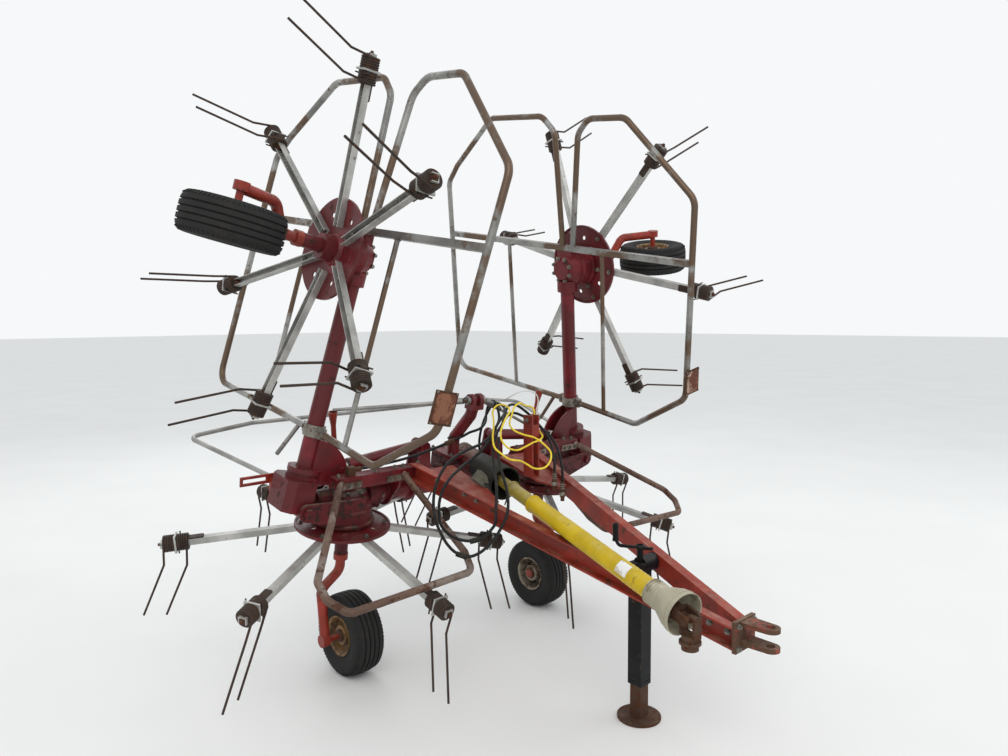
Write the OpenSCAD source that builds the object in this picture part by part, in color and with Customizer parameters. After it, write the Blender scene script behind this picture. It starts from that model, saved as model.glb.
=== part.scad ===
// Four-rotor hay tedder, parked on its jack with both wings folded up.
// Millimetres: +X the machine's left, +Y to the rear, +Z up, origin at the centre of the hitch pin hole.

/* [View] */
// Node to build, or all of them

/* [Layout] */
// Distance between the two inner rotors' axes
rotor_pitch = 1280; // [1240:5:1320]
// Height of the hitch pin hole above the ground
hitch_height = 520; // [480:5:560]
// How far the rotor line lies behind the hitch pin
rotor_line_y = 1746; // [1700:1:1800]
// Height of the inner rotor discs above the hitch pin
rotor_line_z = 194; // [180:1:210]
// Forward lean of the rotor axes as parked
lean = 9.4; // [8:0.1:11]
// Wing hinge, outboard of the middle
hinge_x = 883; // [870:1:900]
// Main tube and hinge above the rotor discs
tube_lift = 125; // [120:1:130]
// Outer rotor's axis, outboard of the hinge
outer_reach = 1097; // [1080:1:1120]
// Wing angle as parked, 0 being level at work
fold_angle = 102.2; // [100:0.1:104]

/* [Rotors] */
// Radius of a rotor disc
disc_radius = 215; // [200:1:230]
// Thickness of a rotor disc
disc_plate = 6; // [4:0.5:8]
// Radius of the rotor's hub below the disc
hub_radius = 58; // [50:1:64]
// Length of the hub below the disc
hub_drop = 62; // [50:1:75]
// Fixed axle tube, outer diameter
axle_tube = 60; // [54:1:66]
// Lower end of the fixed axle tube, below the disc
axle_drop = 150; // [140:1:165]
// Downward slope of an arm
arm_slope = 8; // [7:0.5:9]
// Width of an arm's channel
arm_width = 34; // [30:1:36]
// Height of an arm's channel
arm_height = 28; // [24:1:30]
// Wall of an arm's channel
arm_wall = 4; // [3:0.5:5]
// Inner end of an arm, from the rotor's axis
arm_start = 96; // [95:1:105]
// Outer end of an arm, from the rotor's axis
arm_end = 768; // [760:1:780]
// Middle of the tine coils, from the rotor's axis
tine_place = 705; // [700:1:710]
// Turn of each rotor as parked: inner right, inner left, outer right, outer left
rotor_turn = [2, 32, 38, 6];

/* [Tines] */
// Wire diameter
wire = 9.5; // [8:0.5:11]
// Turns in a coil
coil_turns = 5; // [4:1:6]
// Radius of a coil to the middle of the wire
coil_radius = 32.5; // [31:0.5:36]
// Clamp plate between the two coils
tine_plate = 8; // [6:1:10]
// Drop from the coil to the knee
knee_drop = 102; // [90:1:120]
// Drop from the coil to the tip
tip_drop = 352; // [320:1:380]
// Outward reach of the tip from the knee
tip_reach = 83; // [60:1:100]

/* [Gear cases] */
// Radius of an inner gear case
case_radius = 128; // [120:1:135]
// Radius of an outer gear case
outer_case_radius = 98; // [94:1:104]
// Bottom of a gear case above the disc
case_floor = 17; // [15:1:20]
// Top of a gear case above the disc
case_top = 172; // [165:1:180]
// Diameter of the main cross tube
main_tube = 120; // [110:1:125]
// Hinge pin diameter
hinge_pin = 30; // [26:1:34]
// Half the gap between the hinge ears
ear_gap = 100; // [96:1:106]
// Thickness of a hinge ear
ear_plate = 18; // [14:1:22]

/* [Wheels] */
// Tyre diameter
tyre_diameter = 376; // [350:1:390]
// Tyre width
tyre_width = 150; // [135:1:155]
// Rim's outer radius
rim_radius = 92; // [85:1:98]
// Wheel centre inboard of the inner rotor's axis
wheel_inset = 26; // [20:1:32]
// Diameter of a wheel leg's tube
leg_tube = 44; // [40:1:48]
// Side step of a wheel leg
leg_step = 105; // [98:1:112]
// Depth of an outer wheel's centre below its disc
outer_leg_drop = 478; // [465:1:485]
// Forward reach of an outer wheel's centre
outer_leg_reach = 110; // [90:1:130]

/* [Wings] */
// Wing tube diameter
wing_tube = 74; // [70:1:80]
// Hoop tube diameter
hoop_tube = 30; // [26:1:34]
// Bend radius of the hoops
hoop_bend = 80; // [60:5:100]
// Brace tube diameter
brace_tube = 22; // [18:1:26]
// Radius of the fold sector
sector_radius = 190; // [186:1:196]
// Thickness of a sector plate
sector_plate = 10; // [8:1:12]
// Distance from the wing's middle plane to a sector plate
sector_gap = 32; // [30:1:36]

/* [Drawbar] */
// Height of a drawbar rail
rail_height = 78; // [70:1:84]
// Flange of a drawbar rail
rail_flange = 45; // [40:1:50]
// Wall of a drawbar rail
rail_wall = 7; // [5:1:9]
// Inner face of a rail at its front end
rail_front_x = 15; // [12:1:20]
// Inner face of a rail at its rear end
rail_rear_x = 354; // [340:1:365]
// Top of a rail at its front end
rail_front_z = 20; // [18:1:26]
// Top of a rail at its rear end
rail_rear_z = 465; // [450:1:475]
// Hitch plate thickness
hitch_plate = 16; // [14:1:18]
// Gap between the hitch plates
hitch_gap = 52; // [50:1:60]
// Hitch pin hole diameter
pin_hole = 32; // [28:1:36]

/* [Jack] */
// Jack's centre line, left of the middle
jack_x = 28; // [20:1:36]
// Jack's centre line, behind the hitch pin
jack_y = 580; // [560:1:600]
// Jack tube's width
jack_tube_width = 66; // [60:1:70]
// Jack leg's width
jack_leg_width = 52; // [46:1:54]
// Jack foot's diameter
jack_foot = 178; // [160:1:190]

/* [Drive shaft] */
// Diameter of the front guard tube
front_tube = 74; // [70:1:78]
// Diameter of the rear guard tube
rear_tube = 60; // [56:1:64]
// Diameter of the guard cone's mouth
cone_mouth = 156; // [145:1:160]

/* [Hidden] */
$fn = 32;

maroon = [0.46, 0.05, 0.10];
orange_red = [0.72, 0.13, 0.08];
zinc = [0.62, 0.63, 0.60];
rusty = [0.36, 0.22, 0.16];
spring_brown = [0.13, 0.09, 0.08];
black_paint = [0.04, 0.04, 0.045];
rubber = [0.05, 0.05, 0.05];
brass_paint = [0.62, 0.50, 0.22];
cone_grey = [0.55, 0.53, 0.46];
guard_yellow = [0.78, 0.66, 0.08];
chrome = [0.75, 0.75, 0.76];

arms = 6;
rotor_x = rotor_pitch / 2;
ground_z = -hitch_height;
tyre_radius = tyre_diameter / 2;
// From an inner disc down to the wheel's centre, along and across the rotor's axis
wheel_fall = rotor_line_z + hitch_height - tyre_radius;
inner_leg_drop = wheel_fall * cos(lean);
inner_leg_reach = wheel_fall * sin(lean);

// Routes of the hoses and ropes, laid out by hand
hose = 13;
yellow_rope = 9;
white_rope = 6;
hose_outer_route = [
    [150, 1705, 430], [150, 1705, 480], [150, 1690, 540], [147, 1660, 597], [140, 1620, 645],
    [130, 1578, 680], [118, 1534, 692], [108, 1488, 687], [92, 1448, 674], [60, 1415, 656],
    [15, 1388, 638], [-30, 1362, 620], [-75, 1335, 602], [-120, 1305, 583], [-200, 1280, 557],
    [-285, 1270, 543], [-345, 1265, 528], [-400, 1265, 503], [-440, 1265, 468], [-470, 1260, 428],
    [-493, 1253, 382], [-505, 1243, 330], [-508, 1225, 275], [-502, 1200, 225], [-490, 1170, 180],
    [-470, 1137, 148], [-442, 1102, 135], [-410, 1075, 145], [-375, 1055, 172], [-340, 1040, 210],
    [-315, 1030, 250], [-290, 1027, 290], [-270, 1038, 330], [-247, 1068, 380], [-228, 1108, 425],
    [-205, 1155, 465], [-170, 1208, 515], [-115, 1262, 570], [-60, 1302, 617], [-5, 1345, 655],
    [45, 1383, 680], [98, 1413, 694], [150, 1420, 686], [195, 1398, 650], [221, 1360, 605],
    [229, 1312, 562], [215, 1260, 520], [190, 1217, 475], [172, 1190, 430], [172, 1190, 390]];
hose_side_route = [
    [-630, 1600, 458], [-580, 1600, 458], [-500, 1600, 463], [-400, 1598, 471], [-310, 1599, 482],
    [-230, 1595, 498], [-180, 1573, 517]];
hose_inner_route = [
    [-140, 1555, 533], [-100, 1537, 549], [-58, 1538, 562], [1, 1537, 572], [34, 1542, 585],
    [79, 1573, 602], [99, 1592, 630], [108, 1593, 660], [108, 1578, 687], [99, 1549, 704],
    [86, 1515, 703], [76, 1490, 692], [54, 1450, 660], [30, 1420, 630], [-10, 1395, 601],
    [-55, 1367, 575], [-100, 1343, 550], [-160, 1328, 515], [-220, 1313, 492], [-285, 1297, 473],
    [-340, 1285, 452], [-390, 1275, 428], [-432, 1265, 393], [-460, 1258, 350], [-472, 1250, 303],
    [-475, 1240, 260], [-465, 1220, 225], [-442, 1192, 198], [-415, 1165, 185], [-382, 1135, 182],
    [-348, 1110, 197], [-325, 1088, 225], [-312, 1070, 260], [-305, 1078, 300], [-275, 1105, 345],
    [-230, 1155, 392], [-185, 1215, 440], [-145, 1268, 490], [-98, 1312, 540], [-50, 1345, 582],
    [0, 1369, 610], [45, 1393, 633], [90, 1413, 648], [135, 1420, 650], [180, 1412, 632],
    [222, 1390, 603], [250, 1348, 570], [257, 1297, 534], [243, 1240, 488], [216, 1190, 435],
    [200, 1165, 385], [200, 1165, 340]];
rope_yellow_route = [
    [199, 1336, 606], [201, 1335, 586], [206, 1321, 562], [194, 1290, 543], [152, 1272, 531],
    [105, 1263, 527], [35, 1240, 520], [-45, 1215, 515], [-115, 1200, 535], [-145, 1210, 570],
    [-125, 1240, 600], [-90, 1265, 625], [-40, 1295, 655], [10, 1325, 675], [40, 1365, 690],
    [40, 1405, 700], [20, 1425, 695], [-10, 1420, 670], [-45, 1375, 635], [-100, 1315, 610],
    [-155, 1260, 580], [-185, 1215, 545], [-190, 1170, 525], [-150, 1155, 495], [-90, 1150, 480],
    [-50, 1150, 460], [-20, 1140, 440], [25, 1140, 430], [65, 1140, 435], [105, 1150, 460],
    [125, 1170, 490], [120, 1195, 515], [100, 1215, 540], [70, 1230, 560], [25, 1250, 575],
    [-5, 1280, 595], [10, 1325, 620], [50, 1350, 660], [75, 1360, 690], [115, 1365, 705],
    [152, 1371, 690], [180, 1350, 682], [184, 1337, 664], [184, 1336, 646]];
rope_white_route = [
    [199, 1336, 638], [200, 1337, 665], [210, 1335, 700], [198, 1331, 738], [155, 1327, 760],
    [112, 1337, 765], [88, 1372, 750], [85, 1425, 724], [105, 1478, 714], [135, 1525, 712],
    [150, 1551, 702], [150, 1552, 684]];

// Shared shapes

function unit(v) = v / norm(v);

module frame_at(x, y, z, o)
    multmatrix([[x.x, y.x, z.x, o.x], [x.y, y.y, z.y, o.y], [x.z, y.z, z.z, o.z], [0, 0, 0, 1]])
        children();

function side_of(a) = unit(abs(a.z) < 0.9 ? cross(a, [0, 0, 1]) : cross(a, [1, 0, 0]));

// Puts its children with their Z axis along the line from p to q
module along(p, q) {
    a = unit(q - p);
    s = side_of(a);
    frame_at(s, cross(a, s), a, p) children();
}

module rod(p, q, d) {
    along(p, q) cylinder(d = d, h = norm(q - p));
}

// A tube through the points, with a true arc at each bend
module bent_tube(points, d, bend) {
    n = len(points);
    dirs = [for (i = [0:n - 2]) unit(points[i + 1] - points[i])];
    turn = [for (i = [0:n - 3]) acos(max(-1, min(1, dirs[i] * dirs[i + 1])))];
    trim = [for (t = turn) bend * tan(t / 2)];
    for (i = [0:n - 2]) {
        start = points[i] + dirs[i] * (i == 0 ? 0 : trim[i - 1] - 2);
        end = points[i + 1] - dirs[i] * (i == n - 2 ? 0 : trim[i] - 2);
        rod(start, end, d);
    }
    for (i = [0:n - 3]) {
        a = dirs[i];
        m = unit(dirs[i + 1] - a * (a * dirs[i + 1]));
        frame_at(-m, a, cross(a, m), points[i + 1] - a * trim[i] + m * bend)
            rotate_extrude(angle = turn[i]) translate([bend, 0]) circle(d = d + 0.8);
    }
}

module both_sides() {
    children();
    mirror([1, 0, 0]) children();
}

module one_side(side) {
    mirror([side < 0 ? 1 : 0, 0, 0]) children();
}

// Leaning frame of the rotor line: x across, y back, z along the rotor axes
module rotor_line() {
    translate([0, rotor_line_y, rotor_line_z]) rotate([lean, 0, 0]) children();
}

// Wing frame: x out along the wing, y back, z up at work, from the hinge
module wing(side) {
    rotor_line() one_side(side) translate([hinge_x, 0, tube_lift])
        rotate([0, -fold_angle, 0]) children();
}

module inner_rotor(side) {
    rotor_line() one_side(side) translate([rotor_x, 0, 0]) children();
}

module outer_rotor(side) {
    wing(side) translate([outer_reach, 0, -tube_lift]) children();
}

// Cylinder or profile lying along x or along y
module along_x() rotate([0, 90, 0]) children();
module along_y() rotate([-90, 0, 0]) children();

// A plate in the y-z plane, its profile drawn as (y, z), from x to x + thickness
module plate_yz(x, thickness) {
    translate([x, 0, 0]) rotate([90, 0, 90]) linear_extrude(thickness) children();
}

// A plate in the x-z plane, its profile drawn as (x, z), from y to y + thickness
module plate_xz(y, thickness) {
    translate([0, y + thickness, 0]) rotate([90, 0, 0]) linear_extrude(thickness) children();
}

// Rotors

disc_bore = axle_tube / 2 + 2;
disc_flat = 95;
disc_top = 10;
disc_fall = (disc_radius - disc_flat) * tan(arm_slope);

module disc() {
    color(maroon) difference() {
        rotate_extrude() polygon([
            [disc_bore, disc_top], [disc_flat, disc_top],
            [disc_radius - 8, disc_top - disc_fall + 1], [disc_radius - 8, disc_top - disc_fall + 7],
            [disc_radius, disc_top - disc_fall + 7], [disc_radius, disc_top - disc_fall - disc_plate],
            [disc_flat, disc_top - disc_plate], [hub_radius + 12, disc_top - disc_plate],
            [hub_radius, disc_top - disc_plate - 14], [hub_radius - 6, -hub_drop],
            [disc_bore, -hub_drop]]);
        for (k = [0:arms - 1]) rotate([0, 0, -k * 360 / arms + 30])
            translate([0, 150, -40]) cylinder(d = 22, h = 60);
    }
}

// The arm's own frame: y outward along it, z up, its top face at z = 0
module on_arm(k) {
    rotate([0, 0, -k * 360 / arms]) translate([0, disc_flat, disc_top - disc_plate - 0.3])
        rotate([-arm_slope, 0, 0]) children();
}

arm_length = (arm_end - disc_flat) / cos(arm_slope);
arm_lead = (disc_flat - arm_start) / cos(arm_slope);
coil_place = (tine_place - disc_flat) / cos(arm_slope);
coil_inner = coil_radius - wire / 2 - 1;

module arms_of_rotor() {
    color(zinc) for (k = [0:arms - 1]) on_arm(k) {
        difference() {
            translate([-arm_width / 2, -arm_lead, -arm_height])
                cube([arm_width, arm_lead + arm_length, arm_height]);
            translate([-arm_width / 2 + arm_wall, -arm_lead - 1, -arm_height - 1])
                cube([arm_width - 2 * arm_wall, arm_lead + arm_length + 2, arm_height - arm_wall + 1]);
        }
        translate([0, coil_place - tine_plate / 2, -arm_height / 2])
            along_y() linear_extrude(tine_plate) square([66, 74], center = true);
    }
}

coil_length = coil_turns * wire;

module coil() {
    rotate_extrude() polygon(concat(
        [[coil_inner, 0]],
        [for (i = [0:coil_turns - 1]) each [
            [coil_radius + wire * 0.22, i * wire],
            [coil_radius + wire / 2, (i + 0.3) * wire],
            [coil_radius + wire / 2, (i + 0.7) * wire]]],
        [[coil_radius + wire * 0.22, coil_length], [coil_inner, coil_length]]));
}

// One leg of a double tine, from its coil's outer turn down to the tip
module tine_leg(place) {
    start = [coil_radius, place, 0];
    knee = [7, place, -knee_drop];
    tip = [-22, place + tip_reach, -tip_drop];
    rod(start, knee, wire);
    translate(knee) sphere(d = wire + 0.6);
    rod(knee, tip, wire);
}

module tines_of_rotor() {
    color(spring_brown) for (k = [0:arms - 1]) on_arm(k) translate([0, coil_place, -arm_height / 2]) {
        for (s = [-1, 1]) {
            translate([0, s * tine_plate / 2, 0]) rotate([s < 0 ? 90 : -90, 0, 0]) coil();
            rotate([arm_slope, 0, 0]) tine_leg(s * (tine_plate / 2 + coil_length - wire / 2));
        }
    }
}

module turned(index) rotate([0, 0, -rotor_turn[index]]) children();

// Gear cases, cross tube and hinge ears

module gear_case(radius) {
    rotate_extrude() polygon([
        [0, case_floor], [radius + 12, case_floor], [radius + 12, case_floor + 10],
        [radius, case_floor + 14], [radius, 82], [radius - 8, 90], [radius - 8, 112],
        [radius - 30, case_top - 16], [52, case_top - 8], [52, case_top], [0, case_top]]);
}

module axle() {
    difference() {
        translate([0, 0, -axle_drop]) cylinder(d = axle_tube, h = axle_drop + case_floor + 5);
        translate([0, 0, -axle_drop - 1]) cylinder(d = leg_tube + 0.6, h = 90);
    }
}

ear_radius = 38;
ear_top = 150;

module hinge_ear() {
    difference() {
        union() {
            translate([hinge_x, tube_lift]) circle(r = ear_radius);
            polygon([
                [rotor_x - 40, 30], [rotor_x + 60, 30], [hinge_x + 8, tube_lift - ear_radius + 1],
                [hinge_x - 8, tube_lift + ear_radius - 1], [rotor_x + 70, ear_top],
                [rotor_x - 40, ear_top]]);
        }
        translate([hinge_x, tube_lift]) circle(d = hinge_pin);
    }
}

module inner_gearboxes() {
    color(maroon) rotor_line() both_sides() {
        translate([rotor_x, 0, 0]) {
            gear_case(case_radius);
            axle();
        }
        translate([rotor_x - case_radius - 24, 0, tube_lift]) along_x() difference() {
            cylinder(d = main_tube + 34, h = 60);
            translate([0, 0, -1]) cylinder(d = main_tube, h = 16);
        }
        translate([rotor_x + 60, 0, tube_lift]) along_x() cylinder(d = 96, h = case_radius - 60 + 24);
        translate([rotor_x + case_radius, 0, tube_lift]) along_x()
            cylinder(d = 58, h = hinge_x - rotor_x - case_radius - 43);
        for (y = [-ear_gap - ear_plate, ear_gap]) plate_xz(y, ear_plate) hinge_ear();
        translate([hinge_x, -ear_gap - ear_plate - 10, tube_lift]) along_y()
            cylinder(d = hinge_pin, h = 2 * (ear_gap + ear_plate + 10));
        for (y = [-ear_gap - ear_plate - 14, ear_gap + ear_plate]) translate([hinge_x, y, tube_lift])
            along_y() cylinder(d = 46, h = 14, $fn = 6);
    }
}

module cross_tube() {
    reach = rotor_x - case_radius - 9;
    color(maroon) rotor_line() translate([-reach, 0, tube_lift])
        along_x() cylinder(d = main_tube, h = 2 * reach);
}

beam_front = -130;
beam_depth = 57;
beam_top = 262;
beam_height = 57;
beam_inner_x = 300;
beam_outer_x = 767;
beam_wall = 7;
plate_thickness = 10;

// Front beam: an upside-down channel on each side of the drive shaft
module front_beam() {
    reach = beam_outer_x - beam_inner_x;
    color(maroon) rotor_line() both_sides() {
        translate([beam_inner_x, beam_front, beam_top - beam_height]) difference() {
            cube([reach, beam_depth, beam_height]);
            translate([-1, beam_wall, -1])
                cube([reach + 2, beam_depth - 2 * beam_wall, beam_height - beam_wall + 1]);
        }
    }
}

module beam_plate_shape() {
    beam_low = beam_top - beam_height;
    difference() {
        union() {
            translate([0, tube_lift]) circle(r = main_tube / 2 + 16);
            polygon([
                [beam_front, beam_low], [beam_front + beam_depth + 14, beam_low],
                [50, tube_lift + 56], [-52, tube_lift - 54], [beam_front, beam_low - 24]]);
        }
        translate([0, tube_lift]) circle(d = main_tube);
    }
}

// Plates that carry the beam on the cross tube, and the lugs of the two fold cylinders
cylinder_base_x = 235;
cylinder_base_z = 315;
cylinder_y = 0;
cylinder_pin = 22;

module cylinder_lug_shape() {
    difference() {
        translate([cylinder_base_x, 0]) {
            translate([0, cylinder_base_z]) circle(r = 26);
            polygon([
                [-45, tube_lift + 20], [55, tube_lift + 20],
                [24, cylinder_base_z + 10], [-24, cylinder_base_z + 10]]);
        }
        translate([cylinder_base_x, cylinder_base_z]) circle(d = cylinder_pin);
    }
}

module beam_plates() {
    color(maroon) rotor_line() both_sides() {
        for (x = [beam_inner_x, 430]) plate_yz(x, plate_thickness) beam_plate_shape();
        for (y = [cylinder_y - 46, cylinder_y + 34]) difference() {
            plate_xz(y, 12) cylinder_lug_shape();
            translate([0, 0, tube_lift]) along_x() cylinder(d = main_tube, h = 400);
        }
        translate([cylinder_base_x, cylinder_y - 54, cylinder_base_z]) along_y()
            cylinder(d = cylinder_pin, h = 108);
    }
}

// Middle gear case with its input, along the drive shaft

shaft_rear = [0, rotor_line_y - 130, 427];
shaft_front = [-308, 121, 123];
shaft_axis = unit(shaft_front - shaft_rear);
shaft_length = norm(shaft_front - shaft_rear);

// Frame of the drive shaft: z forward along it from the rear joint
module on_shaft() {
    along(shaft_rear, shaft_front) children();
}

shaft_pivot = 300;
joint_pin = 16;
neck_radius = 55;
neck_end = 150;

module centre_gearbox() {
    color(maroon) difference() {
        rotor_line() {
            difference() {
                union() {
                    translate([-95, -80, 40]) cube([190, 165, 200]);
                    translate([0, 0, 40]) cylinder(r = 92, h = 226);
                    for (x = [-125, 95]) translate([x, 0, tube_lift])
                        along_x() cylinder(d = main_tube + 36, h = 30);
                }
                translate([-400, 0, tube_lift]) along_x() cylinder(d = main_tube, h = 800);
            }
        }
        on_shaft() translate([0, 0, -12]) cylinder(d = 300, h = 200);
    }
    color(maroon) on_shaft() {
        translate([0, 0, -60]) cylinder(r = neck_radius, h = neck_end + 60);
        translate([0, 0, neck_end - 1]) cylinder(d = 40, h = shaft_pivot - 40 - neck_end + 1);
        translate([0, 0, shaft_pivot - 50]) cylinder(d = 62, h = 14);
        for (s = [-1, 1]) {
            translate([s * 22 - 6, -20, shaft_pivot - 40]) cube([12, 40, 40]);
            translate([s * 22 - 6, 0, shaft_pivot]) along_x() cylinder(d = 40, h = 12);
        }
        translate([-28, 0, shaft_pivot]) along_x() cylinder(d = joint_pin, h = 56);
    }
}

module shaft_bell() {
    color(black_paint) on_shaft() rotate_extrude() polygon([
        [neck_radius, 118], [neck_radius + 6, 118], [64, 150], [78, 352], [80, 356], [80, 362],
        [74, 362], [74, 348], [60, 154], [neck_radius, neck_end]]);
}

// Gooseneck, posts, tie rods

neck_x = -100;
neck_base = 266;

module gooseneck() {
    color(maroon) rotor_line() {
        bent_tube([[neck_x, -90, neck_base + 6], [neck_x, -84, 360], [neck_x, -190, 500],
            [neck_x, -204, 552]], 56, 40);
        translate([neck_x - 46, -128, neck_base]) cube([84, 168, 14]);
        difference() {
            union() {
                translate([neck_x - 34, -238, 536]) cube([68, 58, 44]);
                translate([neck_x - 34, -209, 580]) along_x() cylinder(d = 58, h = 68);
            }
            translate([neck_x - 13, -242, 556]) cube([26, 66, 70]);
        }
        translate([neck_x - 54, -209, 580]) along_x() cylinder(d = 20, h = 108);
    }
}

post_x = 620;
post_y = 109;

post_foot = [post_x - 1, post_y, ear_top - 8];
post_head = [post_x + 43, post_y, 492];
post_length = norm(post_head - post_foot);
bracket_back = ear_gap + ear_plate + 24;

module guard_posts() {
    color(orange_red) rotor_line() both_sides() {
        difference() {
            along(post_foot, post_head) rotate_extrude() polygon([
                [0, 0], [12, 0], [12, post_length - 64], [22, post_length], [18, post_length],
                [8, post_length - 60], [0, post_length - 60]]);
            translate([post_x - 50, post_y - 50, ear_top - 50]) cube([100, 100, 50]);
            translate([rotor_x, 0, 0]) cylinder(r = case_radius - 24, h = 158);
        }
        difference() {
            translate([hinge_x + 30, bracket_back - 8, 190]) cube([158, 8, 42]);
            translate([hinge_x + 72, bracket_back - 20, 202]) cube([104, 40, 18]);
        }
        translate([hinge_x - 36, ear_gap + ear_plate, 150])
            cube([90, bracket_back - ear_gap - ear_plate, 62]);
    }
}

// The right rod ends on its post's flared head, the left one lower down against its post
module tie_rods() {
    left_foot = post_foot + (post_head - post_foot) * 0.394;
    color(zinc) rotor_line() {
        for (s = [-1, 1]) {
            head = [neck_x + s * 44, -209, 580];
            foot = s < 0 ? [-post_x - 43, post_y, 500.3] : left_foot;
            way = unit(foot - head);
            difference() {
                union() {
                    rod(head + way * 10, foot, 16);
                    rod(head + way * 18, head + way * 130, 30);
                    translate(head - [8, 0, 0]) along_x() cylinder(d = 40, h = 16);
                }
                translate(head - [30, 0, 0]) along_x() cylinder(d = 20, h = 60);
                translate([neck_x - 34, -300, 500]) cube([68, 200, 200]);
                along(post_foot, post_head) cylinder(r = 12, h = post_length);
            }
        }
    }
}

// Guards of the inner rotors

guard_tube = 30;

module front_guards() {
    function on_plane(x, y) = [x, y, 236 + 0.466 * (y + 142)];
    color(zinc) rotor_line() both_sides() {
        difference() {
            bent_tube([
                on_plane(735, -118), on_plane(1070, -540), on_plane(1072, -620), on_plane(1020, -690),
                on_plane(430, -670), on_plane(400, -580), on_plane(421, -118)], guard_tube, 45);
            translate([300, beam_front - 8, 0]) cube([600, 200, 500]);
        }
        for (x = [640, 390]) translate([x, beam_front - 8, beam_top - beam_height + 6])
            cube([120, 8, 30]);
    }
}

module rear_guard() {
    corner = [1080, 700, 255];
    color(zinc) rotor_line() {
        difference() {
            bent_tube([
                [-935, 120, 220], [-corner.x, corner.y, corner.z], [-765, 704, 292], [765, 704, 292],
                [corner.x, corner.y, corner.z], [935, 120, 220]], 22, 45);
            translate([-1200, 0, 0]) cube([2400, bracket_back, 500]);
        }
    }
}

// Drawbar

rail_front_y = 110;
rail_slope = (rail_rear_z - rail_front_z) / 1500;
rail_spread = (rail_rear_x - rail_front_x) / 1500;
function rail_at(y) = [rail_front_x + (y - 126) * rail_spread, y, rail_front_z + (y - 126) * rail_slope];

module rail_profile() {
    polygon([
        [0, 0], [rail_flange, 0], [rail_flange, rail_wall], [rail_wall, rail_wall],
        [rail_wall, rail_height - rail_wall], [rail_flange, rail_height - rail_wall],
        [rail_flange, rail_height], [0, rail_height]]);
}

module left_rail() {
    p = rail_at(0);
    q = rail_at(1700);
    a = unit(q - p);
    s = unit([a.y, -a.x, 0]);
    difference() {
        frame_at(s, cross(a, s), a, p) linear_extrude(norm(q - p)) rail_profile();
        translate([-400, -500, -400]) cube([900, 500 + rail_front_y, 900]);
        rotor_line() translate([-100, beam_front, -400]) cube([900, 500, 1000]);
    }
}

plate_front_y = 1180;
plate_rear_y = 1540;
upright_x = 140;
upright_y = 1336;

// Gusset sheet between the drive shaft and a rail
module gusset_sheet(inner_x) {
    front = rail_at(plate_front_y).x + 2;
    rear = rail_at(plate_rear_y).x + 2;
    intersection() {
        translate([0, 126, rail_front_z - 30]) rotate([atan(rail_slope), 0, 0]) cube([600, 1800, 8]);
        linear_extrude(900) polygon([
            [inner_x, plate_front_y + 100], [front - 62, plate_front_y],
            [front, plate_front_y], [rear, plate_rear_y], [inner_x, plate_rear_y]]);
    }
}

module drawbar_rails() {
    color(orange_red) {
        both_sides() left_rail();
        one_side(1) gusset_sheet(upright_x);
        one_side(-1) gusset_sheet(upright_x + 22);
        difference() {
            translate([upright_x, upright_y - 30, 346]) cube([8, 60, 300]);
            translate([upright_x - 10, upright_y, 622]) along_x() cylinder(d = 18, h = 40);
        }
        difference() {
            translate([upright_x + 40, upright_y - 30, 346]) cube([8, 60, 300]);
            translate([upright_x, upright_y, 622]) along_x() cylinder(d = 18, h = 60);
        }
        translate([upright_x - 6, upright_y, 622]) along_x() cylinder(d = 18, h = 74);
        translate([upright_x, upright_y - 30, 540]) cube([48, 8, 60]);
    }
}

// Two plates with the pin hole, on a head plate across the rails' front ends
module hitch_clevis() {
    top = hitch_gap / 2;
    color(orange_red) {
        difference() {
            for (z = [top, -top - hitch_plate]) translate([0, 0, z]) linear_extrude(hitch_plate) {
                circle(d = 66);
                polygon([[-33, 0], [-38, 95], [38, 95], [33, 0]]);
            }
            translate([0, 0, -100]) cylinder(d = pin_hole, h = 200);
        }
        translate([-66, 94, -68]) cube([132, 16, 114]);
    }
}

// Jack

jack_bottom = ground_z + 145;
jack_top = 130;

module jack_tube() {
    hole = jack_leg_width + 0.6;
    color(black_paint) {
        difference() {
            translate([jack_x - jack_tube_width / 2, jack_y - jack_tube_width / 2, jack_bottom])
                cube([jack_tube_width, jack_tube_width, jack_top - jack_bottom]);
            translate([jack_x - hole / 2, jack_y - hole / 2, jack_bottom - 1])
                cube([hole, hole, jack_top - jack_bottom - 9]);
        }
        intersection() {
            translate([jack_x, jack_y, 115]) along_x() cylinder(d = 70, h = 300);
            linear_extrude(400) polygon([
                [jack_x, 300], [rail_at(300).x, 300], [rail_at(900).x, 900], [jack_x, 900]]);
        }
        translate([jack_x, jack_y, jack_top - 1]) cylinder(d = 26, h = 66);
        bent_tube([
            [jack_x, jack_y - 60, 196], [jack_x, jack_y + 120, 172], [jack_x, jack_y + 126, 256]
        ], 14, 24);
    }
}

module jack_leg() {
    color(rusty) {
        translate([jack_x - jack_leg_width / 2, jack_y - jack_leg_width / 2, ground_z + 8])
            cube([jack_leg_width, jack_leg_width, 440]);
        translate([jack_x, jack_y, ground_z]) cylinder(d = jack_foot, h = 10);
    }
}

// Drive shaft

slip_at = 600;
front_end = shaft_length;

module shaft_tube_rear() {
    color(guard_yellow) on_shaft() {
        translate([0, 0, shaft_pivot + 120]) cylinder(d = rear_tube, h = 860 - shaft_pivot);
        translate([0, 0, shaft_pivot + 26]) cylinder(d = 50, h = 96);
        difference() {
            union() {
                translate([-14, -20, shaft_pivot]) cube([28, 40, 40]);
                translate([-14, 0, shaft_pivot]) along_x() cylinder(d = 40, h = 28);
            }
            translate([-20, 0, shaft_pivot]) along_x() cylinder(d = joint_pin + 0.6, h = 40);
        }
    }
}

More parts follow.
